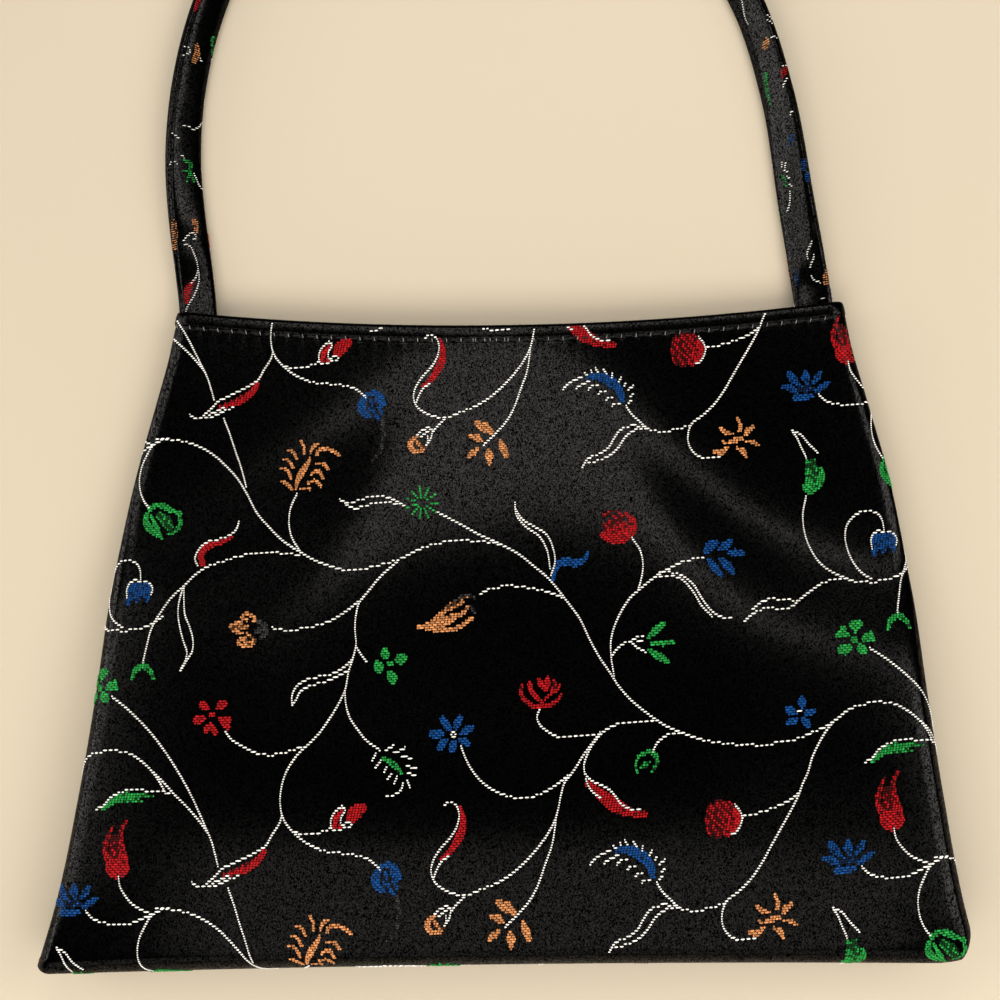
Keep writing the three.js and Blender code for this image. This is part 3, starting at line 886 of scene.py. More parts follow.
# Coloured parts: thread, width in pixels at the start, middle and end, share of the floats kept at the start
# and the end, points along it.
FIGURES = [
    # Red leaves with one white edge.
    ("red", (4, 9, 4), (1, 0.8), [(265, 850), (260, 858), (252, 865), (242, 870), (232, 873), (225, 875)]),
    ("red", (3, 7, 6), (1, 1), [(232, 537), (222, 542), (211, 545), (204, 550), (201, 557), (203, 564)]),
    ("red", (4, 8, 4), (1, 1), [(460, 808), (463, 818), (462, 830), (456, 843), (448, 854), (441, 860)]),
    ("red", (6, 14, 5), (1, 0.9), [(588, 784), (598, 792), (608, 800), (618, 807), (630, 812), (645, 814)]),
    # Red bud in a white sepal.
    ("red", (4, 6, 3), (1, 1), [(334, 826), (337, 818), (342, 811)]),
    ("red", (3, 3, 2), (1, 1), [(337, 827), (346, 826)]),
    ("red", (9, 14, 9), (1, 0.9), [(351, 819), (356, 812), (362, 808)]),
    # Pomegranate, open to the upper left.
    ("red", (6, 14, 9), (1, 1), [(603, 535), (612, 538), (622, 537), (631, 530)]),
    ("red", (9, 7, 3), (1, 0.8), [(631, 532), (633, 524), (630, 517), (625, 513)]),
    ("red", (8, 10, 8), (0.5, 0.3), [(606, 527), (612, 522), (620, 517)]),
    ("red", (8, 10, 8), (0.8, 0.7), [(611, 530), (617, 529), (624, 525)]),
    ("red", (4, 4, 3), (0.3, 0.3), [(604, 516), (612, 512), (620, 512)]),
    # Lotus.
    ("red", (3, 4, 5), (0.8, 1), [(522, 686), (521, 690), (522, 696), (527, 702), (533, 706), (540, 707)]),
    ("red", (3, 4, 5), (0.8, 1), [(561, 695), (558, 699), (553, 703), (547, 706), (540, 707)]),
    ("red", (5, 5, 3), (1, 1), [(530, 684), (531, 689), (535, 696), (542, 702)]),
    ("red", (4, 6, 4), (1, 1), [(539, 680), (541, 684), (544, 688)]),
    ("red", (4, 7, 4), (1, 1), [(548, 678), (547, 684), (546, 690)]),
    ("red", (3, 4, 3), (0.4, 0.4), [(554, 680), (555, 685), (551, 691)]),
    ("red", (2, 3, 2), (0.9, 0.9), [(560, 684), (558, 689), (552, 693), (545, 699)]),
    # Round red fruit, dense on the right.
    ("red", (8, 10, 8), (1, 1), [(735, 810), (737, 819), (733, 829)]),
    ("red", (9, 10, 8), (0.7, 0.7), [(728, 805), (729, 819), (727, 833)]),
    ("red", (9, 11, 8), (0.45, 0.45), [(719, 803), (719, 819), (718, 835)]),
    ("red", (7, 9, 7), (0.4, 0.4), [(711, 807), (710, 819), (711, 832)]),
    # Tulip on a stem.
    ("red", (8, 24, 21), (1, 1), [(892, 825), (892, 819), (891, 812)]),
    ("red", (8, 6, 2), (0.9, 0.6), [(899, 812), (895, 800), (893, 790), (894, 780), (898, 771)]),
    ("red", (7, 5, 2), (0.9, 0.4), [(882, 812), (878, 801), (880, 789), (885, 777)]),
    ("red", (10, 10, 8), (0.5, 0.2), [(888, 806), (888, 799), (887, 790)]),
    # Round red flower.
    ("red", (3, 7, 8), (1, 1), [(208, 709), (205, 707), (203, 705)]),
    ("red", (3, 7, 9), (1, 1), [(217, 709), (220, 706), (223, 704)]),
    ("red", (3, 8, 10), (1, 1), [(205, 718), (201, 719), (198, 720)]),
    ("red", (4, 7, 7), (1, 1), [(220, 719), (224, 719), (228, 720)]),
    ("red", (4, 7, 6), (1, 1), [(222, 721), (225, 724), (228, 727)]),
    ("red", (3, 6, 6), (1, 1), [(211, 724), (208, 727), (206, 730)]),
    ("red", (3, 6, 6), (1, 1), [(211, 724), (213, 728), (215, 732)]),
    ("red", (5, 6, 5), (1, 1), [(212, 714), (212, 715), (213, 715)]),
    # Green leaf with a white upper edge.
    ("green", (3, 9, 3), (1, 0.8), [(103, 809), (110, 804), (120, 798), (135, 796), (152, 796)]),
    ("green", (2, 3, 2), (0.6, 0.6), [(117, 803), (130, 802), (144, 800)]),
    # Long green bud with a white tip.
    ("green", (3, 6, 6), (0.5, 1), [(807, 461), (808, 470), (808, 480), (806, 488)]),
    ("green", (6, 9, 5), (1, 1), [(805, 486), (810, 490), (816, 489)]),
    ("green", (4, 7, 5), (0.7, 1), [(820, 468), (822, 475), (820, 483), (815, 490)]),
    ("green", (6, 8, 8), (0.2, 0.6), [(813, 461), (814, 474), (813, 484)]),
    # Heart of green on the left.
    ("green", (5, 7, 3), (1, 1), [(150, 509), (157, 505), (165, 507), (172, 511), (181, 513)]),
    ("green", (4, 8, 3), (1, 1), [(147, 513), (146, 521), (150, 529), (156, 534), (162, 538)]),
    ("green", (3, 5, 2), (1, 1), [(151, 516), (155, 524), (162, 539)]),
    ("green", (4, 5, 3), (0.9, 0.9), [(180, 517), (180, 525), (175, 531), (168, 534)]),
    ("green", (8, 12, 8), (0.3, 0.4), [(160, 516), (166, 521), (170, 527)]),
    # Green umbel and half ring.
    ("green", (3, 7, 3), (0.9, 0.9), [(132, 679), (135, 671), (143, 666), (150, 671), (154, 679)]),
    ("green", (3, 5, 2), (1, 0.8),
     [(638, 757), (643, 754), (650, 752), (655, 755), (657, 761), (655, 767), (651, 773)]),
    ("green", (2, 2, 2), (0.8, 0.8), [(638, 758), (636, 763), (636, 768), (638, 774)]),
    ("green", (3, 6, 3), (0.7, 0.7), [(641, 768), (645, 765), (649, 762)]),
    # Feathered green and the three green wedges.
    ("green", (3, 6, 2), (1, 0.8), [(383, 758), (390, 762), (397, 768), (402, 774)]),
    ("green", (2, 8, 5), (1, 1), [(648, 638), (655, 631), (663, 624)]),
    ("green", (3, 7, 2), (1, 1), [(651, 644), (661, 643), (675, 642)]),
    ("green", (2, 8, 4), (1, 1), [(648, 649), (657, 655), (668, 662)]),
    # Round green flowers.
    ("green", (8, 10, 8), (1, 1), [(853, 625), (856, 624), (859, 624)]),
    ("green", (4, 4, 3), (1, 1), [(856, 627), (856, 630), (855, 632)]),
    ("green", (7, 8, 6), (1, 1), [(839, 635), (843, 634), (847, 635)]),
    ("green", (6, 7, 7), (1, 1), [(843, 628), (843, 630), (843, 632)]),
    ("green", (5, 9, 6), (1, 1), [(864, 640), (868, 637), (871, 634)]),
    ("green", (6, 7, 5), (1, 1), [(866, 639), (870, 639), (873, 640)]),
    ("green", (9, 11, 10), (1, 1), [(842, 650), (845, 649), (847, 648)]),
    ("green", (5, 9, 8), (1, 1), [(860, 646), (862, 649), (863, 651)]),
    ("green", (6, 6, 6), (1, 1), [(854, 639), (854, 640), (855, 640)]),
    ("green", (5, 9, 4), (1, 1), [(385, 650), (385, 653), (386, 658)]),
    ("green", (6, 11, 5), (1, 1), [(397, 660), (401, 659), (405, 658)]),
    ("green", (5, 10, 5), (1, 1), [(377, 663), (379, 667), (379, 671)]),
    ("green", (6, 10, 4), (1, 1), [(390, 673), (392, 677), (393, 683)]),
    ("green", (5, 6, 5), (1, 1), [(389, 664), (390, 664), (391, 664)]),
    # Blue leaf, drop and bell.
    ("blue", (3, 10, 3), (1, 1),
     [(553, 580), (554, 571), (559, 564), (567, 562), (576, 563), (583, 561), (588, 553)]),
    ("blue", (5, 9, 6), (1, 1), [(380, 868), (376, 876), (376, 884), (383, 891)]),
    ("blue", (5, 7, 5), (1, 1), [(381, 867), (389, 865), (396, 870), (399, 878)]),
    ("blue", (4, 6, 4), (0.7, 0.4), [(386, 872), (385, 880), (389, 888), (394, 896)]),
    ("blue", (4, 6, 3), (1, 0.5), [(391, 873), (395, 881), (397, 890)]),
    ("blue", (9, 9, 4), (1, 0.7), [(877, 537), (876, 545), (874, 555)]),
    ("blue", (7, 8, 5), (1, 0.8), [(884, 537), (884, 544), (883, 551)]),
    ("blue", (8, 8, 4), (1, 0.8), [(891, 536), (892, 543), (893, 550)]),
    # Blue flowers of separate petals.
    ("blue", (5, 10, 6), (1, 1), [(706, 552), (710, 546), (716, 543)]),
    ("blue", (5, 9, 4), (1, 1), [(720, 549), (726, 545), (731, 541)]),
    ("blue", (4, 9, 6), (1, 1), [(729, 553), (735, 553), (742, 553)]),
    ("blue", (4, 8, 4), (1, 1), [(709, 560), (715, 568), (721, 575)]),
    ("blue", (5, 9, 5), (1, 1), [(721, 559), (727, 565), (733, 572)]),
    ("blue", (6, 8, 5), (1, 1), [(802, 699), (802, 702), (802, 706)]),
    ("blue", (6, 9, 5), (1, 1), [(788, 708), (791, 711), (795, 713)]),
    ("blue", (4, 8, 6), (1, 1), [(806, 714), (809, 712), (813, 711)]),
    ("blue", (6, 8, 4), (1, 1), [(789, 723), (793, 721), (796, 719)]),
    ("blue", (4, 8, 6), (1, 1), [(803, 719), (806, 722), (808, 725)]),
    ("blue", (6, 8, 5), (1, 1), [(443, 719), (446, 724), (449, 729)]),
    ("blue", (6, 8, 5), (1, 1), [(460, 718), (458, 722), (456, 727)]),
    ("blue", (5, 8, 4), (1, 1), [(472, 728), (467, 730), (461, 734)]),
    ("blue", (4, 7, 5), (1, 1), [(460, 739), (464, 741), (468, 744)]),
    ("blue", (5, 8, 7), (1, 1), [(454, 742), (453, 746), (452, 749)]),
    ("blue", (5, 8, 5), (1, 1), [(446, 740), (442, 744), (440, 749)]),
    ("blue", (8, 9, 4), (1, 1), [(433, 734), (437, 734), (443, 733)]),
    # Blue fan and the feathered blue leaf.
    ("blue", (3, 8, 4), (1, 0.8), [(823, 859), (830, 859), (838, 865)]),
    ("blue", (6, 8, 3), (1, 0.8), [(831, 844), (835, 850), (841, 856)]),
    ("blue", (2, 9, 4), (1, 0.7), [(848, 840), (848, 847), (850, 854)]),
    ("blue", (3, 7, 4), (1, 0.7), [(864, 841), (860, 848), (856, 854)]),
    ("blue", (3, 7, 4), (1, 0.8), [(873, 852), (867, 857), (860, 863)]),
    ("blue", (6, 8, 4), (1, 1), [(837, 871), (845, 870), (855, 868)]),
    ("blue", (6, 8, 6), (0.3, 0.3), [(841, 861), (848, 861), (855, 860)]),
    ("blue", (7, 11, 5), (0.9, 1), [(618, 850), (630, 850), (642, 856), (650, 865), (653, 877)]),
    # Orange leaf with open fingers.
    ("orange", (3, 12, 8), (1, 1), [(418, 627), (430, 626), (443, 622), (452, 618)]),
    ("orange", (5, 5, 3), (1, 0.7), [(436, 619), (446, 610), (456, 606), (463, 602)]),
    ("orange", (6, 5, 3), (1, 0.7), [(446, 620), (456, 616), (463, 613), (468, 606)]),
    ("orange", (5, 5, 4), (1, 1), [(436, 631), (450, 630), (463, 625), (472, 618)]),
    ("orange", (2, 3, 3), (0.5, 0.4), [(441, 612), (452, 603), (466, 597)]),
    # Orange bud under a white cap, and the flower of five separate petals.
    ("orange", (4, 6, 5), (1, 1), [(434, 916), (428, 923), (429, 930), (434, 933)]),
    ("orange", (5, 5, 3), (1, 0.8), [(434, 933), (440, 931), (444, 928)]),
    ("orange", (3, 5, 3), (0.5, 0.5), [(434, 921), (437, 925), (440, 928)]),
    ("orange", (4, 11, 5), (1, 1), [(497, 902), (505, 906), (514, 913)]),
    ("orange", (5, 8, 3), (1, 1), [(492, 916), (497, 918), (503, 922)]),
    ("orange", (3, 7, 3), (1, 1), [(489, 940), (494, 935), (499, 931)]),
    ("orange", (2, 9, 4), (1, 1), [(510, 931), (511, 938), (511, 947)]),
    ("orange", (4, 8, 5), (1, 1), [(523, 923), (526, 931), (529, 939)]),
    # Orange palm.
    ("orange", (3, 7, 2), (1, 1), [(310, 459), (306, 466), (301, 474), (297, 483), (296, 489)]),
    ("orange", (3, 3, 3), (1, 1), [(301, 441), (304, 447), (304, 453)]),
    ("orange", (3, 3, 3), (1, 1), [(288, 450), (293, 452), (297, 459)]),
    ("orange", (3, 3, 3), (1, 1), [(284, 459), (289, 461), (293, 468)]),
    ("orange", (3, 3, 3), (1, 1), [(281, 468), (287, 470), (291, 478)]),
    ("orange", (3, 4, 3), (1, 1), [(282, 481), (287, 484), (292, 489)]),
    ("orange", (3, 4, 3), (1, 1), [(318, 444), (313, 447), (311, 452)]),
    ("orange", (3, 4, 3), (1, 1), [(339, 455), (333, 451), (326, 449), (318, 451), (317, 455)]),
    ("orange", (3, 4, 3), (1, 1), [(328, 469), (324, 464), (317, 464)]),
    ("orange", (3, 4, 3), (1, 1), [(323, 478), (318, 471), (311, 474)]),
    ("orange", (3, 4, 3), (1, 1), [(321, 486), (315, 481), (308, 483)]),
    ("orange", (3, 3, 3), (1, 1), [(310, 489), (306, 488), (301, 489)]),
    # Orange clump with a dark sepal.
    ("orange", (3, 4, 3), (1, 1), [(242, 617), (246, 614), (250, 615), (255, 618)]),
    ("orange", (3, 3, 3), (1, 1), [(243, 620), (245, 620), (247, 620)]),
    ("orange", (3, 3, 3), (1, 1), [(253, 621), (254, 621), (255, 621)]),
    ("orange", (4, 4, 3), (1, 1), [(231, 626), (235, 624), (242, 623)]),
    ("orange", (4, 4, 3), (1, 1), [(231, 628), (235, 631), (242, 633)]),
    ("orange", (5, 5, 3), (0.5, 0.5), [(234, 628), (240, 628), (248, 627)]),
    ("orange", (3, 3, 3), (0.4, 0.4), [(247, 634), (251, 637), (256, 641)]),
    ("orange", (4, 4, 4), (1, 1), [(238, 643), (240, 640), (245, 638)]),
    ("orange", (3, 4, 3), (1, 1), [(239, 645), (246, 646), (251, 646)]),
    ("orange", (4, 4, 3), (0.7, 0.8), [(245, 641), (250, 643), (254, 643)]),
    ("grey", (4, 6, 4), (0.8, 0.8), [(258, 621), (265, 626), (266, 631), (261, 639)]),
    ("grey", (4, 6, 4), (0.7, 0.7), [(263, 628), (259, 630), (256, 631)]),
    # Orange star.
    ("orange", (3, 4, 4), (1, 1), [(775, 895), (778, 902), (777, 909)]),
    ("orange", (4, 6, 3), (1, 1), [(791, 904), (786, 908), (783, 914)]),
    ("orange", (3, 4, 3), (1, 1), [(784, 921), (790, 921), (797, 925)]),
    ("orange", (3, 6, 4), (1, 1), [(774, 928), (779, 930), (783, 937)]),
    ("orange", (4, 6, 3), (1, 1), [(750, 933), (757, 933), (764, 927)]),
    ("orange", (3, 5, 3), (1, 1), [(757, 906), (761, 910), (769, 912)]),
    ("orange", (3, 3, 3), (1, 1), [(759, 921), (763, 923), (768, 920)]),
    ("orange", (5, 7, 4), (0.9, 0.9), [(770, 921), (774, 918), (779, 918)]),
    # Dark tips that hardly show on the satin.
    ("grey", (3, 4, 3), (0.6, 0.6), [(456, 601), (466, 595), (475, 598)]),
    ("grey", (3, 3, 3), (0.6, 0.5), [(470, 606), (475, 612)]),
    ("grey", (3, 4, 3), (0.7, 0.3), [(397, 896), (399, 915), (396, 930), (387, 942)]),
]

# A green burst of fine rays.
BURST_CENTRE = np.array([422.0, 503.0])
BURST_RAYS = 11
BURST_FROM = 5.0
BURST_TO = 16.0
BURST_WIDTH = 1.6

# What shows of the figure on the strap's left and right runs.
STRAP_LINES = [
    [(184, 47), (188, 47), (190, 49)],
    [(183, 55), (186, 54), (190, 53)],
    [(200, 59), (202, 62)],
    [(183, 126), (187, 126), (191, 128), (195, 129), (199, 127), (201, 124), (203, 121)],
    [(172, 133), (176, 136), (179, 138)],
    [(181, 156), (184, 157)],
    [(170, 164), (173, 161), (177, 163)],
    [(194, 174), (196, 178), (198, 183), (200, 187), (203, 190)],
    [(191, 232), (195, 234), (196, 238), (193, 239)],
    [(190, 234), (187, 236), (185, 239), (183, 241)],
    [(184, 244), (188, 245), (191, 247), (193, 251), (195, 256), (197, 262), (198, 268), (199, 274),
     (199, 280), (198, 286), (196, 291), (194, 296), (191, 301), (188, 306), (186, 311), (186, 316)],
    [(198, 271), (195, 279), (191, 283)],
    [(742, 0), (743, 6), (744, 12), (745, 17), (748, 24)],
    [(767, 15), (771, 18)],
    [(767, 20), (772, 23)],
    [(770, 37), (774, 36), (777, 38)],
    [(781, 66), (786, 65)],
    [(787, 78), (785, 82), (783, 86)],
    [(790, 114), (793, 111)],
    [(782, 162), (782, 167)],
    [(786, 162), (785, 167)],
    [(784, 171), (788, 171)],
    [(787, 177), (790, 178)],
    [(789, 184), (792, 186)],
    [(790, 191), (790, 201), (789, 207), (787, 211)],
    [(812, 242), (810, 246), (808, 250), (807, 256), (808, 259)],
    [(814, 255), (813, 260), (811, 264), (810, 268)],
    [(811, 275), (813, 279), (816, 281), (820, 282)],
    [(821, 299), (825, 299)],
]
STRAP_FIGURES = [
    ("red", (8, 8, 4), (1, 1), [(201, -6), (198, 3), (195, 10)]),
    ("orange", (5, 8, 6), (0.9, 0.9), [(197, 46), (197, 53), (194, 61)]),
    ("green", (4, 5, 4), (0.8, 0.8), [(213, 37), (212, 41), (212, 45)]),
    ("green", (3, 4, 3), (0.6, 0.6), [(213, 49), (212, 53), (212, 57)]),
    ("green", (2, 3, 3), (1, 1), [(182, 161), (185, 161), (188, 162)]),
    ("green", (3, 5, 4), (0.9, 0.9), [(189, 161), (191, 166), (190, 171)]),
    ("green", (2, 3, 3), (1, 1), [(183, 171), (186, 171), (189, 172)]),
    ("green", (4, 4, 2), (0.8, 0.8), [(190, 173), (192, 177), (194, 182)]),
    ("green", (2, 3, 2), (0.8, 0.8), [(190, 175), (188, 178), (187, 181)]),
    ("orange", (6, 8, 6), (0.7, 0.7), [(174, 222), (175, 234), (175, 247)]),
    ("orange", (4, 6, 4), (0.8, 0.8), [(193, 219), (196, 225), (196, 232)]),
    ("red", (4, 9, 4), (1, 1), [(193, 282), (189, 288), (187, 296), (187, 303)]),
    ("orange", (5, 8, 6), (0.9, 0.9), [(767, 40), (766, 44), (765, 47)]),
    ("red", (7, 7, 4), (0.9, 0.9), [(784, 68), (784, 72), (783, 76)]),
    ("green", (5, 6, 5), (0.9, 0.9), [(766, 75), (766, 80), (767, 85)]),
    ("green", (4, 4, 2), (0.7, 0.7), [(767, 86), (768, 95), (770, 104)]),
    ("blue", (5, 6, 4), (0.6, 0.6), [(791, 136), (791, 140), (790, 144)]),
    ("blue", (5, 6, 4), (0.7, 0.7), [(804, 160), (804, 164), (804, 169)]),
    ("blue", (6, 7, 5), (1, 1), [(809, 173), (808, 176), (808, 180)]),
    ("green", (3, 4, 3), (0.7, 0.7), [(783, 175), (784, 180), (786, 186)]),
    ("orange", (7, 10, 6), (0.8, 0.8), [(828, 271), (827, 277), (826, 283)]),
    ("blue", (4, 5, 3), (0.4, 0.4), [(796, 271), (797, 278), (798, 285)]),
]

THREADS = {
    "white": (0.95, 0.93, 0.88),
    "red": (0.44, 0.004, 0.008),
    "green": (0.016, 0.33, 0.055),
    "blue": (0.002, 0.062, 0.25),
    "orange": (0.7, 0.28, 0.1),
    "grey": (0.045, 0.043, 0.042),
}
THREAD_NAMES = list(THREADS)


def walk(at, places, values):
    """Rows of values between those at places along a line, and not a number past the line's ends."""
    between = [np.interp(at, places, column, left=np.nan, right=np.nan) for column in values.T]
    return np.stack(between, axis=-1)


def cloth_lookup(face, normals, drop, places):
    """The cloth laid flat: point, normal and drop at every millimetre up and across. Each column is walked
    by its places up, run on straight past the mouth, then each row by its places across."""
    beyond = np.arange(1, MOUTH_BEYOND + 1)[:, None, None]
    rise = unit(face[-1] - face[-2])
    face = np.concatenate([face, face[-1] + rise * beyond])
    normals = np.concatenate([normals, np.repeat(normals[-1:], MOUTH_BEYOND, axis=0)])
    drop = np.concatenate([drop, drop[-1] - beyond[..., 0]])
    places = np.concatenate([places, places[-1] + beyond * np.array([0, 1])])
    sheet = np.concatenate([face, normals, drop[..., None], places[..., :1]], axis=-1)
    heights = np.arange(math.floor(places[..., 1].min()), places[..., 1].max())
    columns = [walk(heights, places[:, j, 1], sheet[:, j]) for j in range(face.shape[1])]
    widths = np.arange(math.floor(places[..., 0].min()), math.ceil(places[..., 0].max()) + 1)
    rows = [walk(widths, row[:, -1], row[:, :-1]) for row in np.stack(columns, axis=1)]
    return {"sheet": np.stack(rows), "left": widths[0], "base": heights[0]}


def sheet_parts(sheet):
    """Points, normals and drop of a lookup's sheet."""
    return sheet[..., :3], sheet[..., 3:6], sheet[..., 6]


def on_cloth(lookup, across, up):
    """Points, normals and drop at places on the flat cloth, shared out in proportion between the four whole
    millimetres round each; what is off the cloth comes out as not a number."""
    sheet = lookup["sheet"]
    column = across - lookup["left"]
    row = up - lookup["base"]
    off = (column < 0) | (column >= sheet.shape[1] - 1) | (row < 0) | (row >= sheet.shape[0] - 1)
    left = np.clip(np.floor(column), 0, sheet.shape[1] - 2).astype(int)
    low = np.clip(np.floor(row), 0, sheet.shape[0] - 2).astype(int)
    right_share = (column - left)[..., None]
    high_share = (row - low)[..., None]
    low_row = (1 - right_share) * sheet[low, left] + right_share * sheet[low, left + 1]
    high_row = (1 - right_share) * sheet[low + 1, left] + right_share * sheet[low + 1, left + 1]
    found = (1 - high_share) * low_row + high_share * high_row
    found[off] = np.nan
    return sheet_parts(found)


def view_pixels(points):
    """Pixels of the view at points in bag millimetres: aside and above over depth, times the focal length,
    from the middle of the frame."""
    away = points + BAG_ORIGIN / MM - VIEW_PLACE
    depth = (away @ view_ahead)[..., None]
    flat = np.stack([away @ view_right, -(away @ view_up)], axis=-1)
    return flat * VIEW_FOCAL / depth + FRAME_PIXELS / 2


def chart_places(pixels, lookup):
    """Places on the flat cloth under chart pixels: the nearest point of a coarse grid that faces the view,
    then moved CHART_MENDS times by the pixels that it misses over the slopes there, which are taken over
    CHART_REACH each way."""
    points, normals, drop = sheet_parts(lookup["sheet"][::CHART_GRID, ::CHART_GRID])
    facing = np.flatnonzero((drop > 0) & (normals[..., 2] > CHART_FACING))
    there = view_pixels(points.reshape(-1, 3)[facing])
    nearest = facing[np.linalg.norm(pixels[:, None] - there[None], axis=-1).argmin(axis=1)]
    row, column = np.unravel_index(nearest, drop.shape)
    places = np.stack([CHART_GRID * column + lookup["left"], CHART_GRID * row + lookup["base"]], axis=-1)
    for _ in range(CHART_MENDS):
        near = places[:, None] + CHART_REACH * np.array([(0, 0), (1, 0), (-1, 0), (0, 1), (0, -1)])
        seen = view_pixels(on_cloth(lookup, near[..., 0], near[..., 1])[0])
        miss = pixels - seen[:, 0]
        over = (seen[:, 1] - seen[:, 2]) / (2 * CHART_REACH)
        along = (seen[:, 3] - seen[:, 4]) / (2 * CHART_REACH)
        area = over[:, 0] * along[:, 1] - over[:, 1] * along[:, 0]
        aside = (miss[:, 0] * along[:, 1] - miss[:, 1] * along[:, 0]) / area
        ahead = (over[:, 0] * miss[:, 1] - over[:, 1] * miss[:, 0]) / area
        step = np.nan_to_num(np.stack([aside, ahead], axis=-1))
        places = places + np.clip(step, -CHART_STEP, CHART_STEP)
    return places


def stroke_places(points, lookup):
    """Dense places along a stroke in weave millimetres, and the share of the way there: a smooth line at
    even steps through its chart points' places on the flat cloth, turned by the cloth's slant."""
    points = chart_places(np.array(points, dtype=float), lookup)
    steps = np.maximum(np.linalg.norm(np.diff(points, axis=0), axis=1), DENSE_STEP)
    reach = np.concatenate([[0], np.cumsum(steps)])
    at = np.linspace(0, reach[-1], max(2, int(reach[-1] / DENSE_STEP)))
    across, up = smooth_rows(reach, points, at).T
    weftwise = across * math.cos(CLOTH_SLANT) + up * math.sin(CLOTH_SLANT)
    warpwise = up * math.cos(CLOTH_SLANT) - across * math.sin(CLOTH_SLANT)
    return np.stack([weftwise, warpwise], axis=-1), at / reach[-1]


def weave_stroke(cloth, thread, places, reach, keep):
    """Puts a stroke into the weave: every cell nearer to its places than reach takes the thread, 0 being
    none, and the share of floats to keep."""
    far_cell = math.ceil(reach.max() / CELL) + 1
    far_pick = math.ceil(reach.max() / PICK) + 1
    ahead = np.arange(-far_cell, far_cell + 1)[None, None, :]
    aside = np.arange(-far_pick, far_pick + 1)[None, :, None]
    cells = np.round(places[:, 0] / CELL).astype(int)[:, None, None] + ahead + 0 * aside
    picks = np.round(places[:, 1] / PICK).astype(int)[:, None, None] + aside + 0 * ahead
    away = np.hypot(cells * CELL - places[:, :1, None], picks * PICK - places[:, 1:, None])
    inside = away < reach[:, None, None]
    rows = picks[inside] - WEAVE_FIRST_PICK
    columns = cells[inside] - WEAVE_FIRST_CELL
    cloth["thread"][rows, columns] = thread
    cloth["keep"][rows, columns] = np.broadcast_to(keep[:, None, None], inside.shape)[inside]


def line_floats(places):
    """Starts, picks and lengths of the white floats of one line. Each pick covers the part of the line
    nearest to it; a long cover is bound down into even floats."""
    pick = np.round(places[:, 1] / PICK).astype(int)
    parts = np.split(np.arange(len(pick)), np.flatnonzero(np.diff(pick)) + 1)
    found = []
    for part in parts:
        low = places[part, 0].min() - LINE_TAIL / 2
        high = places[part, 0].max() + LINE_TAIL / 2
        count = max(1, round((high - low) / LINE_FLOAT))
        step = (high - low) / count
        length = step - LINE_GAP * (count > 1)
        found += [(low + step * k, pick[part[0]] * PICK, length) for k in range(count)]
    return np.array(found)


def runs_of(grid):
    """Rows, starts and ends of the runs of one thread along each row of the weave."""
    padded = np.pad(grid, ((0, 0), (1, 1)))
    flat = padded.ravel()
    change = np.flatnonzero(np.diff(flat)) + 1
    woven = flat[change[:-1]] > 0
    starts = change[:-1][woven]
    ends = change[1:][woven]
    return starts // padded.shape[1], starts % padded.shape[1] - 1, ends % padded.shape[1] - 1


def weave_chart(figures, lines, lookup):
    """Floats of a chart: thread, start along the weft, pick, length and shade. Coloured parts go in first,
    then the white lines; long runs are bound down every BIND_EVERY cells, the place moving on from pick to
    pick. Where a part keeps only some of its floats, they are shorter and the others are nearly dark."""
    cloth = {"thread": np.zeros(WEAVE_SHAPE, dtype=np.int8), "keep": np.ones(WEAVE_SHAPE)}
    for thread, widths, keep, points in figures:
        places, t = stroke_places(points, lookup)
        reach = np.interp(t, [0, 0.5, 1], widths) / 2 * PIXEL
        kept = keep[0] + (keep[1] - keep[0]) * t
        weave_stroke(cloth, THREAD_NAMES.index(thread) + 1, places, reach, kept)
    found = []
    for points in lines:
        places, t = stroke_places(points, lookup)
        weave_stroke(cloth, 0, places, np.full(len(t), LINE_CLEAR), np.ones_like(t))
        found.append(line_floats(places))
    line_start, line_pick, line_length = np.concatenate(found).T
    rows, starts, ends = runs_of(cloth["thread"])
    every = np.where(cloth["keep"] < 1, BIND_SPARSE, BIND_EVERY)
    long_run = np.zeros_like(cloth["thread"], dtype=bool)
    for row, start, end in zip(rows, starts, ends):
        long_run[row, start:end] = end - start >= BIND_SPARSE
    pick, cell = np.indices(cloth["thread"].shape)
    bound = (cell + BIND_SHIFT * pick) % every == 0
    cloth["thread"][long_run & bound] = 0
    rows, starts, ends = runs_of(cloth["thread"])
    middles = (starts + ends) // 2
    chance = (EVEN_STEP * (middles // BIND_SPARSE) + PICK_STEP * rows) % 1
    shade = np.where(cloth["keep"][rows, middles] > chance, 1.0, GROUND_SHADE)
    length = np.maximum((ends - starts) * CELL + FLOAT_OVERLAP, SHORTEST_FLOAT)
    middle = ((starts + ends - 1) / 2 + WEAVE_FIRST_CELL) * CELL
    return {
        "thread": np.concatenate([cloth["thread"][rows, starts] - 1, np.zeros(len(line_pick), dtype=int)]),
        "start": np.concatenate([middle - length / 2, line_start]),
        "pick": np.concatenate([(rows + WEAVE_FIRST_PICK) * PICK, line_pick]),
        "length": np.concatenate([length, line_length]),
        "shade": np.concatenate([shade, np.ones(len(line_pick))]),
    }


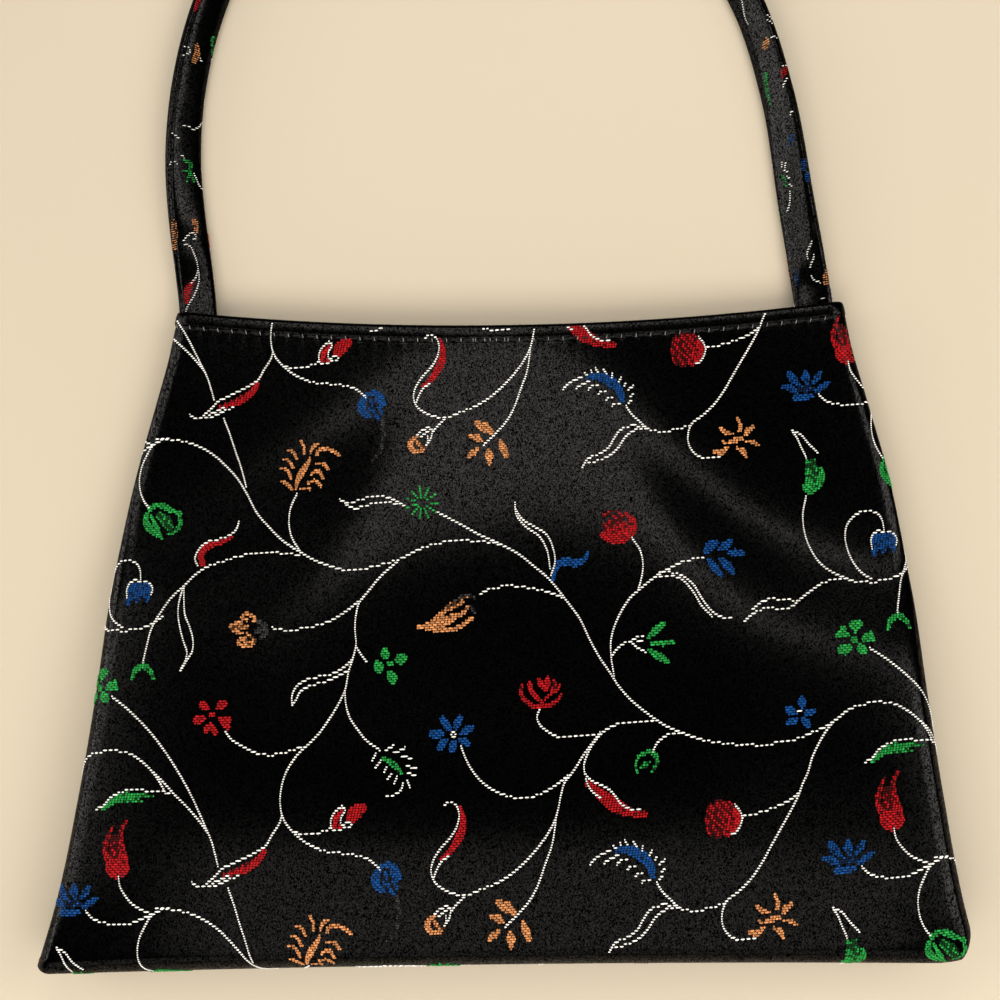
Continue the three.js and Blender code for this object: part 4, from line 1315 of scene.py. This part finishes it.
def lay_floats(lookup, floats, thread, copies, shift):
    """Centres, normals and shade of one thread's floats over a cloth, for each copy of the figure, a number
    of repeats across and up. shift moves the figure over the cloth. The shade goes up and down from float to
    float."""
    mine = floats["thread"] == THREAD_NAMES.index(thread)
    along = floats["start"][mine][:, None] + floats["length"][mine][:, None] * STRAND_STATIONS
    pick = floats["pick"][mine][:, None]
    moved = copies[:, :1] * REPEAT_RIGHT + copies[:, 1:] * REPEAT_RISE + shift
    across = along * math.cos(CLOTH_SLANT) - pick * math.sin(CLOTH_SLANT) + moved[:, :1, None]
    up = along * math.sin(CLOTH_SLANT) + pick * math.cos(CLOTH_SLANT) + moved[:, 1:, None]
    across = across.reshape(-1, len(STRAND_STATIONS))
    up = up.reshape(-1, len(STRAND_STATIONS))
    points, normals, drop = on_cloth(lookup, across, up)
    shade = np.tile(floats["shade"][mine], len(copies))
    spread = LINE_TONE_SPREAD if thread == "white" else TONE_SPREAD
    tone = 1 - spread * (EVEN_STEP * np.arange(len(shade)) % 1)
    there = np.isfinite(points).all(axis=(1, 2)) & (drop > 0).all(axis=1)
    return points[there], unit(normals[there]), (shade * tone)[there]


def float_object(name, thread, laid, finer=1.0):
    """Object of one thread's floats, with its width times finer."""
    points, normals, shade = laid
    half_width = finer * (LINE_HALF_WIDTH if thread == "white" else FILL_HALF_WIDTH)
    floats = f"{name}_{thread}_floats"
    finish = thread_finishes[thread]
    return strand_object(floats, points, normals, half_width, FLOAT_HALF_HEIGHT, shade, finish)


thread_finishes = {
    thread: thread_finish(f"{thread}_weft", colour, WEFT_ROUGH) for thread, colour in THREADS.items()
}
burst_angles = np.arange(BURST_RAYS) * 2 * np.pi / BURST_RAYS
burst = [
    ("green", (BURST_WIDTH,) * 3, (1, 1), [BURST_CENTRE + BURST_FROM * ray, BURST_CENTRE + BURST_TO * ray])
    for ray in np.stack([np.cos(burst_angles), np.sin(burst_angles)], axis=-1)
]
copies_across = np.arange(-COPIES_ACROSS, COPIES_ACROSS + 1)
copies_up = np.arange(-COPIES_UP, COPIES_UP + 1)
every_copy = np.stack(np.meshgrid(copies_across, copies_up), axis=-1).reshape(-1, 2)
one_copy = np.zeros((1, 2))
front_lookup = cloth_lookup(front_face, front_normals, front_drop - MOUTH_CLEAR, front_places)
back_lookup = cloth_lookup(back_face, back_normals, back_drop - MOUTH_CLEAR, back_places)
strap_drop = np.ones(strap_face.shape[:2])
strap_lookup = cloth_lookup(strap_face, grid_normals(strap_face), strap_drop, strap_places)
repeat_floats = weave_chart(FIGURES + burst, VINES + EDGES, front_lookup)
strap_floats = weave_chart(STRAP_FIGURES, STRAP_LINES, strap_lookup)
for thread in THREADS:
    laid = lay_floats(front_lookup, repeat_floats, thread, every_copy, (0.0, 0.0))
    float_object("front", thread, laid)
    laid = lay_floats(back_lookup, repeat_floats, thread, every_copy, BACK_SHIFT)
    float_object("back", thread, laid)
    charted = lay_floats(strap_lookup, strap_floats, thread, one_copy, (0.0, 0.0))
    points, normals, shade = lay_floats(strap_lookup, repeat_floats, thread, every_copy, STRAP_SHIFT)
    unseen = (view_pixels(points[:, 2])[:, 1] < 0) | (normals[:, 2, 2] < 0)
    rest = (points[unseen], normals[unseen], shade[unseen])
    laid = [np.concatenate(pair) for pair in zip(charted, rest)]
    float_object("strap", thread, laid, STRAP_FINER)


# Table top and light: a plain pale top with a slight gloss, large soft light panels over the bag and round
# it, and weak light from all sides.

TOP_SIZE = 6.0
TOP_COLOUR = (0.41, 0.352, 0.266)
TOP_ROUGH = 0.35
PANEL_COLOUR = (1.0, 0.96, 0.9)
ROOM_COLOUR = (1.0, 0.95, 0.88)
ROOM_STRENGTH = 0.02
PANELS = [
    # name, place, aim, width, height, watts
    ("arch_panel", (0.02, 0.55, 1.0), (0.0234, 0.53, 0.0), 0.82, 0.42, 4.0),
    ("left_panel", (-1.1, 0.2, 1.0), (-1.1, 0.18, 0.0), 1.0, 0.7, 8.4),
    ("left_window", (-1.7, 0.1, 0.5), (0.0, 0.0, 0.0), 1.4, 0.9, 20.0),
    ("right_panel", (1.65, 0.1, 1.0), (1.65, 0.08, 0.0), 2.3, 0.7, 26.0),
    ("base_panel", (-0.02, -0.66, 1.0), (-0.02, -0.68, 0.0), 0.86, 1.24, 5.3),
    ("near_wall", (0.0, -1.5, 0.55), (0.0, 0.0, 0.0), 2.0, 0.9, 6.0),
    ("near_bounce", (0.1, -0.6, 0.8), (0.05, -0.2, 0.0), 1.6, 0.5, 13.0),
]

top_mesh = bpy.data.meshes.new("table_top")
top_corner = TOP_SIZE / 2
top_mesh.from_pydata(
    [
        (-top_corner, -top_corner, 0),
        (top_corner, -top_corner, 0),
        (top_corner, top_corner, 0),
        (-top_corner, top_corner, 0),
    ],
    [],
    [(0, 1, 2, 3)],
)
top = bpy.data.objects.new("table_top", top_mesh)
bpy.context.scene.collection.objects.link(top)
top_finish, top_shader = new_finish("pale_top")[:2]
top_shader.inputs["Base Color"].default_value = (*TOP_COLOUR, 1.0)
top_shader.inputs["Roughness"].default_value = TOP_ROUGH
top_mesh.materials.append(top_finish)


def soft_panel(name, place, aim, width, height, watts):
    """An area light at place that faces aim."""
    data = bpy.data.lights.new(name, "AREA")
    data.shape = "RECTANGLE"
    data.size = width
    data.size_y = height
    data.energy = watts
    data.color = PANEL_COLOUR
    lamp = bpy.data.objects.new(name, data)
    bpy.context.scene.collection.objects.link(lamp)
    ahead = unit(np.array(aim) - np.array(place))
    side = unit(np.cross(ahead, [0.0, 0.0, 1.0]))
    rise = np.cross(side, ahead)
    lamp.matrix_world = Matrix.Translation(place) @ Matrix([side, rise, -ahead]).transposed().to_4x4()
    return lamp


lamps = {panel[0]: soft_panel(*panel) for panel in PANELS}
lamps["near_bounce"].visible_glossy = False
world = bpy.data.worlds.new("room")
world.use_nodes = True
room_light = world.node_tree.nodes["Background"]
room_light.inputs["Color"].default_value = (*ROOM_COLOUR, 1.0)
room_light.inputs["Strength"].default_value = ROOM_STRENGTH
bpy.context.scene.world = world
bpy.context.scene.view_settings.view_transform = "Standard"
